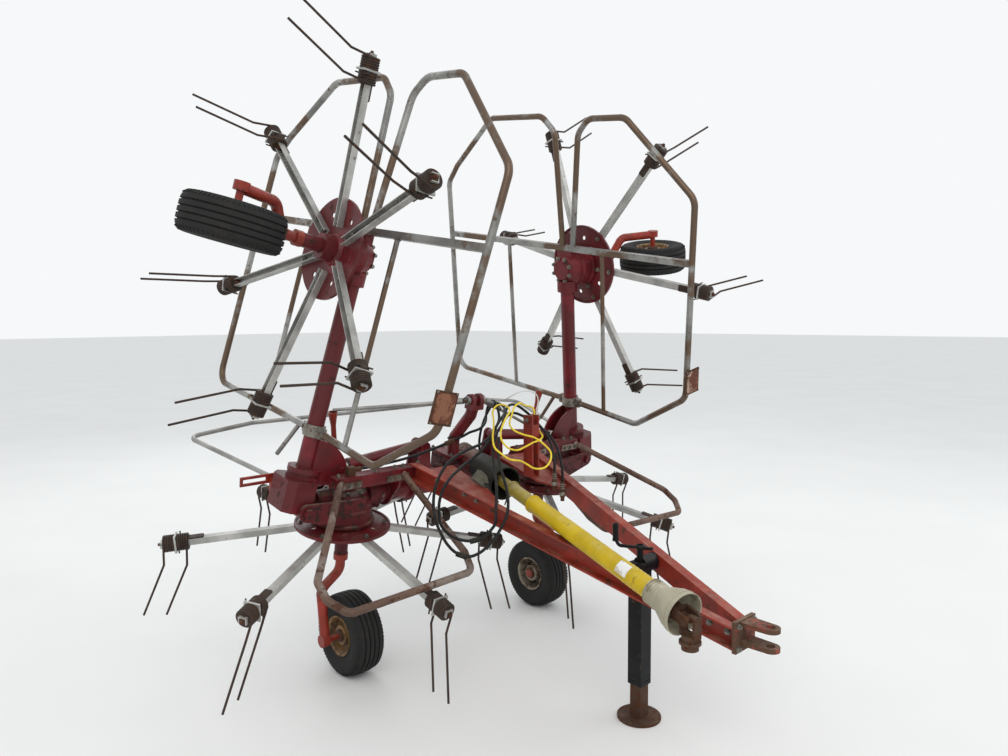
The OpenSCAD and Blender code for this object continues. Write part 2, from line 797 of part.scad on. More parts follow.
module shaft_tube_front() {
    color(guard_yellow) on_shaft() difference() {
        translate([0, 0, slip_at]) cylinder(d = front_tube, h = front_end - slip_at - 104);
        translate([0, 0, slip_at - 1]) cylinder(d = rear_tube + 0.6, h = front_end - slip_at - 80);
    }
}

module shaft_cone() {
    color(cone_grey) on_shaft() translate([0, 0, front_end]) rotate_extrude() polygon([
        [front_tube / 2, -190], [front_tube / 2 + 8, -190], [front_tube / 2 + 10, -130],
        [cone_mouth / 2 - 6, -70], [cone_mouth / 2, -28], [cone_mouth / 2 - 4, -28],
        [cone_mouth / 2 - 10, -68], [front_tube / 2 + 4, -124], [front_tube / 2, -130]]);
}

// The joint's fork on the shaft, its ears either side of the cross
module shaft_fork() {
    color(rusty) on_shaft() translate([0, 0, front_end]) difference() {
        union() {
            translate([0, 0, -100]) cylinder(d = 48, h = 52);
            translate([-36, -17, -56]) cube([72, 34, 10]);
            for (s = [-1, 1]) {
                translate([s * 30 - 6, -17, -50]) cube([12, 34, 50]);
                translate([s * 30 - 6, 0, 0]) along_x() cylinder(d = 34, h = 12);
            }
        }
        translate([-50, 0, 0]) along_x() cylinder(d = joint_pin + 0.6, h = 100);
    }
}

// The hanging yoke with the joint's cross
module shaft_yoke() {
    side = side_of(shaft_axis);
    up = [0, 0, 1];
    color(rusty) frame_at(side, cross(up, side), up, shaft_front) {
        difference() {
            union() {
                translate([0, 0, -104]) cylinder(d = 58, h = 50);
                translate([0, 0, -84]) cylinder(d = 74, h = 10);
                translate([-15, -36, -60]) cube([30, 72, 12]);
                for (s = [-1, 1]) {
                    translate([-15, s * 30 - 6, -56]) cube([30, 12, 56]);
                    translate([0, s * 30 - 6, 0]) along_y() cylinder(d = 30, h = 12);
                }
            }
            translate([0, 0, -110]) cylinder(d = 35, h = 49);
        }
        translate([0, -33, 0]) along_y() cylinder(d = joint_pin, h = 66);
        translate([-36, 0, 0]) along_x() cylinder(d = joint_pin, h = 72);
        sphere(d = 30);
    }
}

// Fold cylinders

rod_eye = [178, 161];
rod_eye_x = hinge_x - sin(fold_angle - 90) * rod_eye.x - cos(fold_angle - 90) * rod_eye.y;
rod_eye_z = tube_lift + cos(fold_angle - 90) * rod_eye.x - sin(fold_angle - 90) * rod_eye.y;
rod_bore = 32;
barrel_end = 402;
cylinder_drop = atan2(cylinder_base_z - rod_eye_z, rod_eye_x - cylinder_base_x);
cylinder_pins = norm([rod_eye_x - cylinder_base_x, rod_eye_z - cylinder_base_z]);

module on_cylinder(side) {
    rotor_line() one_side(side) translate([cylinder_base_x, cylinder_y, cylinder_base_z])
        rotate([0, cylinder_drop, 0]) children();
}

module cylinder_barrel(side) {
    color(maroon) on_cylinder(side) {
        difference() {
            union() {
                translate([14, 0, 0]) along_x() cylinder(d = 56, h = barrel_end - 14);
                translate([barrel_end - 26, 0, 0]) along_x() cylinder(d = 62, h = 26);
                along_y() translate([0, 0, -28]) cylinder(d = 46, h = 56);
            }
            translate([34, 0, 0]) along_x() cylinder(d = rod_bore, h = 500);
            along_y() translate([0, 0, -40]) cylinder(d = cylinder_pin + 0.6, h = 80);
        }
    }
}

module cylinder_rod(side) {
    color(chrome) on_cylinder(side) {
        difference() {
            union() {
                translate([36, 0, 0]) along_x() cylinder(d = rod_bore - 0.6, h = cylinder_pins - 40);
                translate([cylinder_pins, 0, 0]) along_y() translate([0, 0, -18])
                    cylinder(d = 50, h = 36);
            }
            translate([cylinder_pins, 0, 0]) along_y() translate([0, 0, -30]) cylinder(d = 22, h = 60);
        }
    }
}

// Wings

knuckle_out = 125;
collar_end = 172;

module sector_shape() {
    difference() {
        intersection() {
            translate([112, 12]) circle(r = sector_radius);
            polygon([[100, 12], [122, 260], [330, 260], [330, 12]]);
        }
        translate([60, -40]) square([100, 80]);
    }
}

module wing_arm(side) {
    color(maroon) wing(side) {
        difference() {
            union() {
                difference() {
                    translate([-10, -95, -100]) cube([knuckle_out + 10, 190, 125]);
                    for (y = [-95, 95]) translate([-20, y, -100]) rotate([45, 0, 0])
                        translate([0, -22, -22]) cube([200, 44, 44]);
                }
                along_y() translate([0, 0, -ear_gap + 2]) cylinder(r = 36, h = 2 * ear_gap - 4);
                translate([knuckle_out - 5, 0, 0]) along_x() {
                    cylinder(r = 72, h = 18);
                    cylinder(r = 66, h = 32);
                    translate([0, 0, 32]) cylinder(r = 72, h = collar_end - knuckle_out + 5 - 32);
                }
            }
            along_y() translate([0, 0, -ear_gap - 5])
                cylinder(d = hinge_pin + 0.6, h = 2 * ear_gap + 10);
        }
        translate([knuckle_out, 0, 0]) along_x() cylinder(d = wing_tube, h = outer_reach - knuckle_out);
        for (s = [-1, 1]) translate([0, cylinder_y + s * (sector_gap + sector_plate / 2), 0]) {
            plate_xz(-sector_plate / 2, sector_plate) sector_shape();
            translate([rod_eye.x, s * (sector_plate / 2 + 6) - 6, rod_eye.y]) along_y()
                cylinder(d = 34, h = 12, $fn = 6);
        }
        translate([outer_reach, 0, -tube_lift]) {
            gear_case(outer_case_radius);
            axle();
        }
        translate([outer_reach - outer_case_radius - 24, 0, 0]) along_x()
            cylinder(d = wing_tube + 34, h = 60);
        translate([outer_reach + 40, -52, -20]) cube([bar_face - outer_reach - 40, 104, 40]);
    }
}

bar_face = outer_reach + outer_case_radius;
bar_size = 30;
clamp_place = 312;
hoop_front = [
    [335, -58, 0], [318, -470, 0], [540, -780, 0], [1500, -800, 0], [1860, -400, 0],
    [1860, -170, 0], [1790, -100, 0], [1200, -46, 0]];
hoop_rear = [
    [335, 58, 0], [331, 1000, 0], [1520, 970, 0], [1620, 880, 0], [1880, 550, 0], [1880, 150, 0],
    [1800, 60, 0], [1200, 24, 0]];

module wing_guards(side) {
    color(zinc) wing(side) {
        difference() {
            union() {
                bent_tube(hoop_front, hoop_tube, hoop_bend);
                bent_tube(hoop_rear, hoop_tube, hoop_bend);
            }
            translate([bar_face - 60, -100, -60]) cube([60, 200, 120]);
        }
        translate([bar_face, -794, -bar_size / 2]) cube([bar_size, 1774, bar_size]);
        rod([327, -250, 0], [bar_face + 10, -250, 0], brace_tube);
        rod([333, 450, 0], [bar_face + 10, 450, 0], brace_tube);
        rod([333, 124, 0], [156, 252, 0], 20);
        difference() {
            translate([clamp_place, 0, 0]) along_x() union() {
                cylinder(d = wing_tube + 14, h = 46);
                translate([-14, -76, 0]) cube([28, 152, 46]);
            }
            translate([clamp_place - 5, 0, 0]) along_x() cylinder(d = wing_tube, h = 56);
        }
    }
}

module wing_marker(side) {
    color(rusty) wing(side) {
        translate([570, -804, -70]) cube([124, 4, 104]);
        difference() {
            translate([600, -801, -13]) cube([50, 21, 26]);
            rod(hoop_front[2], hoop_front[3], hoop_tube);
        }
    }
}

// Wheels

module rotor_leg(drop, reach, inset) {
    bottom = [leg_step, -reach, -drop];
    color(orange_red) {
        translate([0, 0, -axle_drop + 0.5 - 30]) cylinder(d = axle_tube + 6, h = 29);
        translate([0, 0, -axle_drop - 10]) cylinder(d = leg_tube, h = 80);
        bent_tube([
            [0, 0, -axle_drop - 20], [0, 0, -axle_drop - 85],
            [leg_step, -reach * 0.25, -axle_drop - 150], bottom], leg_tube, 50);
        translate(bottom) along_x() translate([0, 0, -12]) cylinder(d = 58, h = 34);
        translate([-inset - 62, -reach, -drop]) along_x() cylinder(d = 28, h = leg_step + inset + 62);
        translate([-inset - 68, -reach, -drop]) along_x() cylinder(d = 44, h = 10);
    }
}

module wheel_rim() {
    color(brass_paint) along_x() difference() {
        union() {
            rotate_extrude() polygon([
                [34, -52], [34, 52], [44, 52], [44, 24], [60, 10],
                [rim_radius - 18, 26], [rim_radius - 10, 60],
                [rim_radius, 66], [rim_radius, 58], [rim_radius - 4, 54], [rim_radius - 4, -54],
                [rim_radius, -58], [rim_radius, -66], [rim_radius - 10, -60], [rim_radius - 12, 14],
                [60, -2], [44, -10], [44, -52]]);
            translate([0, 0, -52]) cylinder(r = 40, h = 104);
        }
        translate([0, 0, -60]) cylinder(d = 29, h = 120);
    }
}

module tyre() {
    w = tyre_width / 2;
    color(rubber) along_x() rotate_extrude() difference() {
        polygon([
            [rim_radius, -58], [rim_radius + 14, -64], [rim_radius + 45, -w], [tyre_radius - 30, -w],
            [tyre_radius - 8, -w + 14], [tyre_radius, -w + 30], [tyre_radius, w - 30],
            [tyre_radius - 8, w - 14], [tyre_radius - 30, w], [rim_radius + 45, w],
            [rim_radius + 14, 64], [rim_radius, 58]]);
        for (z = [-26, 0, 26]) translate([tyre_radius - 7, z - 3]) square([20, 6]);
    }
}

module inner_leg(side) {
    inner_rotor(side) rotor_leg(inner_leg_drop, inner_leg_reach, wheel_inset);
}

module outer_leg(side) {
    outer_rotor(side) rotor_leg(outer_leg_drop, outer_leg_reach, wheel_inset);
}

module inner_wheel(side) {
    inner_rotor(side) translate([-wheel_inset, -inner_leg_reach, -inner_leg_drop]) children();
}

module outer_wheel(side) {
    outer_rotor(side) translate([-wheel_inset, -outer_leg_reach, -outer_leg_drop]) children();
}

// Hoses and ropes

function spline(a, b, c, d, t) =
    0.5 * (2 * b + (c - a) * t + (2 * a - 5 * b + 4 * c - d) * t * t + (3 * b - a - 3 * c + d) * t * t * t);

// A smooth curve through the points, with six steps from each to the next
function smooth(p) = [
    for (i = [0:len(p) - 2]) let (
        a = i > 0 ? p[i - 1] : 2 * p[0] - p[1],
        d = i < len(p) - 2 ? p[i + 2] : 2 * p[i + 1] - p[i])
        for (k = [0:5]) spline(a, p[i], p[i + 1], d, k / 6),
    p[len(p) - 1]];

function run_lengths(c, i = 1, total = 0) =
    i >= len(c) ? [total] : concat([total], run_lengths(c, i + 1, total + norm(c[i] - c[i - 1])));

// The curve cut into equal steps
function even(c, steps) =
    let (
        s = run_lengths(c),
        xs = [for (i = [0:len(c) - 1]) [s[i], c[i].x]],
        ys = [for (i = [0:len(c) - 1]) [s[i], c[i].y]],
        zs = [for (i = [0:len(c) - 1]) [s[i], c[i].z]])
    [for (k = [0:steps]) let (g = s[len(s) - 1] * k / steps) [lookup(g, xs), lookup(g, ys), lookup(g, zs)]];

function heading(p, i) = unit(p[min(i + 1, len(p) - 1)] - p[max(i - 1, 0)]);

// A side direction carried along the curve without twist
function carried(p, n, i = 0) =
    let (t = heading(p, i), m = unit(n - t * (n * t)))
    i == len(p) - 1 ? [m] : concat([m], carried(p, m, i + 1));

module cord(route, d, steps) {
    p = even(smooth(route), steps);
    side = carried(p, side_of(heading(p, 0)));
    last = steps * 8;
    polyhedron(
        points = [for (i = [0:steps]) let (t = heading(p, i), m = side[i], n = cross(t, m))
            for (j = [0:7]) p[i] + (m * cos(j * 45) + n * sin(j * 45)) * d / 2],
        faces = concat(
            [[for (j = [0:7]) j]],
            [for (i = [0:steps - 1]) for (j = [0:7]) let (a = i * 8 + j, b = i * 8 + (j + 1) % 8)
                each [[a, a + 8, b + 8], [a, b + 8, b]]],
            [[for (j = [7:-1:0]) last + j]]));
}

module hose_outer() color(rubber) cord(hose_outer_route, hose, 79);
module hose_side() color(rubber) cord(hose_side_route, hose, 17);
module hose_inner() color(rubber) cord(hose_inner_route, hose, 79);
module rope_yellow() color([0.85, 0.75, 0.10]) cord(rope_yellow_route, yellow_rope, 84);
module rope_white() color([0.80, 0.80, 0.78]) cord(rope_white_route, white_rope, 30);

// A plug hanging on the end of a hose
module plug() {
    translate([0, 0, -46]) cylinder(d = 20, h = 46);
    translate([0, 0, -72]) cylinder(d = 27, h = 27);
    translate([0, 0, -92]) cylinder(d = 19, h = 21);
}

// Plugs, the sleeve between two hoses, the ports they leave from, and the ropes' knots
module couplers() {
    pin_knot = rope_white_route[0];
    rod_knot = rope_white_route[len(rope_white_route) - 1];
    color(rusty) {
        translate(hose_outer_route[len(hose_outer_route) - 1]) plug();
        translate(hose_inner_route[len(hose_inner_route) - 1]) plug();
        rod(hose_side_route[len(hose_side_route) - 1], hose_inner_route[0], 22);
        translate(hose_side_route[0] - [40, 0, 0]) along_x() cylinder(d = 20, h = 40);
        rotor_line() translate([-700, -116, beam_top]) cube([36, 30, 38]);
        translate(hose_outer_route[0] - [0, 0, 35]) cylinder(d = 22, h = 35);
        rotor_line() difference() {
            translate([132, -26, 170]) cube([36, 40, 44]);
            translate([100, 0, tube_lift]) along_x() cylinder(d = main_tube, h = 100);
        }
        difference() {
            translate([pin_knot.x + 1.5, pin_knot.y, 606]) cylinder(d = 24, h = 32);
            translate([pin_knot.x - 20, pin_knot.y, 622]) along_x() cylinder(d = 18, h = 40);
        }
        difference() {
            union() {
                translate(rod_knot - [0, 0, 24]) cylinder(d = 10, h = 24);
                rotor_line() rod(rod_spot(144), rod_spot(156), 24);
            }
            rotor_line() rod(rod_spot(100), rod_spot(200), 16);
        }
    }
}

// The point of the left tie rod's centre line at the given x
function rod_spot(x) =
    let (head = [neck_x + 44, -209, 580], foot = post_foot + (post_head - post_foot) * 0.394)
    head + (foot - head) * (x - head.x) / (foot.x - head.x);

// Nodes

drawbar_rails();
hitch_clevis();
jack_tube();
jack_leg();
front_beam();
beam_plates();
cross_tube();
inner_gearboxes();
centre_gearbox();
shaft_bell();
gooseneck();
guard_posts();
tie_rods();
front_guards();
rear_guard();
hose_outer();
hose_side();
hose_inner();
rope_yellow();
rope_white();
couplers();
shaft_tube_rear();
shaft_tube_front();
shaft_cone();
shaft_fork();
shaft_yoke();
cylinder_barrel(-1);  // cylinder_barrel_right
cylinder_barrel(1);  // cylinder_barrel_left
cylinder_rod(-1);  // cylinder_rod_right
cylinder_rod(1);  // cylinder_rod_left
wing_arm(-1);  // wing_arm_right
wing_arm(1);  // wing_arm_left
wing_guards(-1);  // wing_guards_right
wing_guards(1);  // wing_guards_left
wing_marker(-1);  // wing_marker_right
wing_marker(1);  // wing_marker_left
inner_rotor(-1) turned(0) disc();  // disc_inner_right
inner_rotor(1) turned(1) disc();  // disc_inner_left
outer_rotor(-1) turned(2) disc();  // disc_outer_right
outer_rotor(1) turned(3) disc();  // disc_outer_left
inner_rotor(-1) turned(0) arms_of_rotor();  // arms_inner_right
inner_rotor(1) turned(1) arms_of_rotor();  // arms_inner_left
outer_rotor(-1) turned(2) arms_of_rotor();  // arms_outer_right
outer_rotor(1) turned(3) arms_of_rotor();  // arms_outer_left
inner_rotor(-1) turned(0) tines_of_rotor();  // tines_inner_right
inner_rotor(1) turned(1) tines_of_rotor();  // tines_inner_left
outer_rotor(-1) turned(2) tines_of_rotor();  // tines_outer_right
outer_rotor(1) turned(3) tines_of_rotor();  // tines_outer_left
inner_leg(-1);  // leg_inner_right
inner_leg(1);  // leg_inner_left
outer_leg(-1);  // leg_outer_right
outer_leg(1);  // leg_outer_left
inner_wheel(-1) wheel_rim();  // rim_inner_right
inner_wheel(1) wheel_rim();  // rim_inner_left
outer_wheel(-1) wheel_rim();  // rim_outer_right
outer_wheel(1) wheel_rim();  // rim_outer_left
inner_wheel(-1) tyre();  // tyre_inner_right
inner_wheel(1) tyre();  // tyre_inner_left
outer_wheel(-1) tyre();  // tyre_outer_right
outer_wheel(1) tyre();  // tyre_outer_left
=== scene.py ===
"""Hay tedder, parked with both wings folded: finishes, hoses, ropes, bolts, tyres and small fittings."""
import math

import bmesh
import bpy
from mathutils import Matrix, Vector


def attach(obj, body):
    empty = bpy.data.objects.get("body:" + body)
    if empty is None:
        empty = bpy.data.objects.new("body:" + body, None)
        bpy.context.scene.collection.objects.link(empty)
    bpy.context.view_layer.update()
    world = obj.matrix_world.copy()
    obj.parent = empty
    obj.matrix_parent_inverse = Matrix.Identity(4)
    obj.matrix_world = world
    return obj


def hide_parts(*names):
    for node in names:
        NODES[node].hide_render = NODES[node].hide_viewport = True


bl_info = {
    "name": "Hay Tedder Dressing",
    "version": (1, 0, 0),
    "blender": (4, 5, 0),
    "location": "View3D > Sidebar > Tedder",
    "description": "Dresses the hay tedder's solids with paint, rust, hoses, ropes, bolts and tyres",
    "category": "Object",
}

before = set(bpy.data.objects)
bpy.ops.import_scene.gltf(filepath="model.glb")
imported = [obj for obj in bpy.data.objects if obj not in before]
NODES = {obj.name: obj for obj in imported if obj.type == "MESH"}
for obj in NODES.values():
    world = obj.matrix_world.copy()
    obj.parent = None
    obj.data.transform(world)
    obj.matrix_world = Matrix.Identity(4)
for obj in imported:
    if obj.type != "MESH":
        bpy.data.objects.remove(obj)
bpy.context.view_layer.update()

X, Y, Z = Vector((1, 0, 0)), Vector((0, 1, 0)), Vector((0, 0, 1))
SIDES = ((-1, "right"), (1, "left"))

# Measures in metres, as in the part's source. The rotor line carries all four rotors at work.
GROUND = -0.520
LEAN = math.radians(9.4)
LINE_HEIGHT = 0.194
ROTOR_LINE = Matrix.Translation((0, 1.746, LINE_HEIGHT)) @ Matrix.Rotation(LEAN, 4, "X")
FOLD_LEAN = math.radians(12.2)
HINGE_X = 0.883
TUBE_LIFT = 0.125
OUTER_REACH = 1.097
ROTOR_X = 0.640
TYRE_RADIUS = 0.188
AXLE_DROP = LINE_HEIGHT - GROUND - TYRE_RADIUS
# Each rotor's side and the turn of its first arm, in degrees
ROTORS = {"inner_right": (-1, 2), "inner_left": (1, 32), "outer_right": (-1, 38), "outer_left": (1, 6)}
ARM_SLOPE = math.radians(8)
ARM_START = (0.095, 0.0037)
# Where the tines' coils sit on their arm
COIL_ALONG = 0.61 / math.cos(ARM_SLOPE)
COIL_LIFT = -0.014
# The drawbar's rails: where they start, half their gap, their outer web, their top, spread and climb
RAIL_START, RAIL_GAP, RAIL_WEB, RAIL_TOP, RAIL_SPREAD, RAIL_CLIMB = 0.126, 0.015, 0.007, 0.020, 0.226, 0.2967
SHAFT_REAR = Vector((0.0, 1.616, 0.427))
SHAFT_FRONT = Vector((-0.308, 0.121, 0.123))
SHAFT_LENGTH = (SHAFT_FRONT - SHAFT_REAR).length
SHAFT_AXIS = (SHAFT_FRONT - SHAFT_REAR).normalized()
SHAFT_SIDE = SHAFT_AXIS.cross(Z).normalized()
SHAFT_UP = SHAFT_SIDE.cross(SHAFT_AXIS)
JACK_X, JACK_Y = 0.028, 0.580
# Ends of the tie rods on the rotor line, from the gooseneck out, and the run of their sleeves
TIE_RODS = (((-0.144, -0.209, 0.580), (-0.663, 0.109, 0.500), 0.055, 0.215),
            ((-0.056, -0.209, 0.580), (0.636, 0.109, 0.280), 0.045, 0.240))

# The cords' points, in millimetres, as in the part's source
ROUTES = {
    "hose_outer": [
        (150, 1705, 430), (150, 1705, 480), (150, 1690, 540), (147, 1660, 597), (140, 1620, 645),
        (130, 1578, 680), (118, 1534, 692), (108, 1488, 687), (92, 1448, 674), (60, 1415, 656),
        (15, 1388, 638), (-30, 1362, 620), (-75, 1335, 602), (-120, 1305, 583), (-200, 1280, 557),
        (-285, 1270, 543), (-345, 1265, 528), (-400, 1265, 503), (-440, 1265, 468), (-470, 1260, 428),
        (-493, 1253, 382), (-505, 1243, 330), (-508, 1225, 275), (-502, 1200, 225), (-490, 1170, 180),
        (-470, 1137, 148), (-442, 1102, 135), (-410, 1075, 145), (-375, 1055, 172), (-340, 1040, 210),
        (-315, 1030, 250), (-290, 1027, 290), (-270, 1038, 330), (-247, 1068, 380), (-228, 1108, 425),
        (-205, 1155, 465), (-170, 1208, 515), (-115, 1262, 570), (-60, 1302, 617), (-5, 1345, 655),
        (45, 1383, 680), (98, 1413, 694), (150, 1420, 686), (195, 1398, 650), (221, 1360, 605),
        (229, 1312, 562), (215, 1260, 520), (190, 1217, 475), (172, 1190, 430), (172, 1190, 390),
    ],
    "hose_side": [
        (-630, 1600, 458), (-580, 1600, 458), (-500, 1600, 463), (-400, 1598, 471), (-310, 1599, 482),
        (-230, 1595, 498), (-180, 1573, 517),
    ],
    "hose_inner": [
        (-140, 1555, 533), (-100, 1537, 549), (-58, 1538, 562), (1, 1537, 572), (34, 1542, 585),
        (79, 1573, 602), (99, 1592, 630), (108, 1593, 660), (108, 1578, 687), (99, 1549, 704),
        (86, 1515, 703), (76, 1490, 692), (54, 1450, 660), (30, 1420, 630), (-10, 1395, 601),
        (-55, 1367, 575), (-100, 1343, 550), (-160, 1328, 515), (-220, 1313, 492), (-285, 1297, 473),
        (-340, 1285, 452), (-390, 1275, 428), (-432, 1265, 393), (-460, 1258, 350), (-472, 1250, 303),
        (-475, 1240, 260), (-465, 1220, 225), (-442, 1192, 198), (-415, 1165, 185), (-382, 1135, 182),
        (-348, 1110, 197), (-325, 1088, 225), (-312, 1070, 260), (-305, 1078, 300), (-275, 1105, 345),
        (-230, 1155, 392), (-185, 1215, 440), (-145, 1268, 490), (-98, 1312, 540), (-50, 1345, 582),
        (0, 1369, 610), (45, 1393, 633), (90, 1413, 648), (135, 1420, 650), (180, 1412, 632),
        (222, 1390, 603), (250, 1348, 570), (257, 1297, 534), (243, 1240, 488), (216, 1190, 435),
        (200, 1165, 385), (200, 1165, 340),
    ],
    "rope_yellow": [
        (199, 1336, 606), (201, 1335, 586), (206, 1321, 562), (194, 1290, 543), (152, 1272, 531),
        (105, 1263, 527), (35, 1240, 520), (-45, 1215, 515), (-115, 1200, 535), (-145, 1210, 570),
        (-125, 1240, 600), (-90, 1265, 625), (-40, 1295, 655), (10, 1325, 675), (40, 1365, 690),
        (40, 1405, 700), (20, 1425, 695), (-10, 1420, 670), (-45, 1375, 635), (-100, 1315, 610),
        (-155, 1260, 580), (-185, 1215, 545), (-190, 1170, 525), (-150, 1155, 495), (-90, 1150, 480),
        (-50, 1150, 460), (-20, 1140, 440), (25, 1140, 430), (65, 1140, 435), (105, 1150, 460),
        (125, 1170, 490), (120, 1195, 515), (100, 1215, 540), (70, 1230, 560), (25, 1250, 575),
        (-5, 1280, 595), (10, 1325, 620), (50, 1350, 660), (75, 1360, 690), (115, 1365, 705),
        (152, 1371, 690), (180, 1350, 682), (184, 1337, 664), (184, 1336, 646),
    ],
    "rope_white": [
        (199, 1336, 638), (200, 1337, 665), (210, 1335, 700), (198, 1331, 738), (155, 1327, 760),
        (112, 1337, 765), (88, 1372, 750), (85, 1425, 724), (105, 1478, 714), (135, 1525, 712),
        (150, 1551, 702), (150, 1552, 684),
    ],
}


# Places

def line_point(x, y, n):
    """A point of the leaning rotor line's frame."""
    return ROTOR_LINE @ Vector((x, y, n))


def line_way(x, y, n):
    """A direction of the leaning rotor line's frame."""
    return (ROTOR_LINE.to_3x3() @ Vector((x, y, n))).normalized()


def wing_point(side, u, y, w):
    """A point of a wing's frame: u out along the wing, y back, w up at work."""
    s, c = math.sin(FOLD_LEAN), math.cos(FOLD_LEAN)
    return line_point(side * (HINGE_X - s * u - c * w), y, TUBE_LIFT + c * u - s * w)


def wing_way(side, u, y, w):
    """A direction of a wing's frame."""
    s, c = math.sin(FOLD_LEAN), math.cos(FOLD_LEAN)
    return line_way(side * (-s * u - c * w), y, c * u - s * w)


def rotor_point(rotor, x, y, n):
    """A point of a rotor's frame, n up along its axis from the disc's plane."""
    side = ROTORS[rotor][0]
    if rotor.startswith("inner"):
        return line_point(side * (ROTOR_X + x), y, n)
    return wing_point(side, OUTER_REACH + x, y, n - TUBE_LIFT)


def rotor_way(rotor, x, y, n):
    """A direction of a rotor's frame."""
    side = ROTORS[rotor][0]
    if rotor.startswith("inner"):
        return line_way(side * x, y, n)
    return wing_way(side, x, y, n)


def turned_to_arm(place, rotor, k, along, across, up, start):
    """Gives place what is along, across and up from the start of arm k, in the rotor's frame."""
    turn = math.radians(k * 60 + ROTORS[rotor][1])
    r = start[0] + along * math.cos(ARM_SLOPE) + up * math.sin(ARM_SLOPE)
    n = start[1] - along * math.sin(ARM_SLOPE) + up * math.cos(ARM_SLOPE)
    return place(rotor, r * math.sin(turn) + across * math.cos(turn),
                 r * math.cos(turn) - across * math.sin(turn), n)


def arm_place(rotor, k, along, across, up):
    """A point of arm k: along it from its inner end, across it, and up off its top face."""
    return turned_to_arm(rotor_point, rotor, k, along, across, up, ARM_START)


def arm_way(rotor, k, along, across, up):
    """A direction of arm k."""
    return turned_to_arm(rotor_way, rotor, k, along, across, up, (0, 0))


def wheel_way(wheel):
    """The direction of a wheel's axle, away from the middle."""
    return rotor_way(wheel, 1, 0, 0)


def wheel_centre(wheel):
    """A wheel's middle: the inner ones stand on the ground, the outer ones trail under their rotors."""
    if wheel.startswith("inner"):
        return rotor_point(wheel, -0.026, -AXLE_DROP * math.sin(LEAN), -AXLE_DROP * math.cos(LEAN))
    return rotor_point(wheel, -0.026, -0.110, -0.478)


def shaft_point(z, side=0.0, up=0.0):
    """A point of the drive shaft, z forward from its rear joint."""
    return SHAFT_REAR + SHAFT_AXIS * z + SHAFT_SIDE * side + SHAFT_UP * up


def rail_top(y):
    """The height of the drawbar rails' top."""
    return RAIL_TOP + (y - RAIL_START) * RAIL_CLIMB


def rail_bolt(side, y, drop):
    """A spot on a rail's outer face, below its top, and the direction out of it."""
    x = RAIL_GAP + (y - RAIL_START) * RAIL_SPREAD + RAIL_WEB
    return Vector((side * x, y, rail_top(y) - drop)), Vector((side, -RAIL_SPREAD, 0))


def turns(count, start=0):
    """Even angles round a circle, from a start in degrees."""
    return [math.radians(k * 360 / count + start) for k in range(count)]


def basis(way):
    """Two directions square to way."""
    way = way.normalized()
    a = way.cross(Z if abs(way.z) < 0.9 else X).normalized()
    return a, way.cross(a)


def around(a, b, turn):
    """The direction at an angle from a towards b."""
    return a * math.cos(turn) + b * math.sin(turn)


# Meshes

def finish_piece(obj, body, finish):
    """Gives a finished piece its material and body."""
    obj.data.materials.clear()
    obj.data.materials.append(bpy.data.materials["worn_" + finish])
    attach(obj, body)
    return obj


def add_mesh(name, verts, faces):
    """An object with its mesh, in the scene."""
    mesh = bpy.data.meshes.new(name)
    mesh.from_pydata([tuple(v) for v in verts], [], faces)
    obj = bpy.data.objects.new(name, mesh)
    bpy.context.scene.collection.objects.link(obj)
    return obj


def tube_faces(rings, sides, closed=False):
    """Faces between rings of points, with a cap at each end unless the last ring meets the first."""
    faces = []
    for i in range(rings if closed else rings - 1):
        p, q = i * sides, (i + 1) % rings * sides
        for j in range(sides):
            k = (j + 1) % sides
            faces.append([p + j, p + k, q + k, q + j])
    if not closed:
        faces += [list(range(sides)), list(range((rings - 1) * sides, rings * sides))]
    return faces


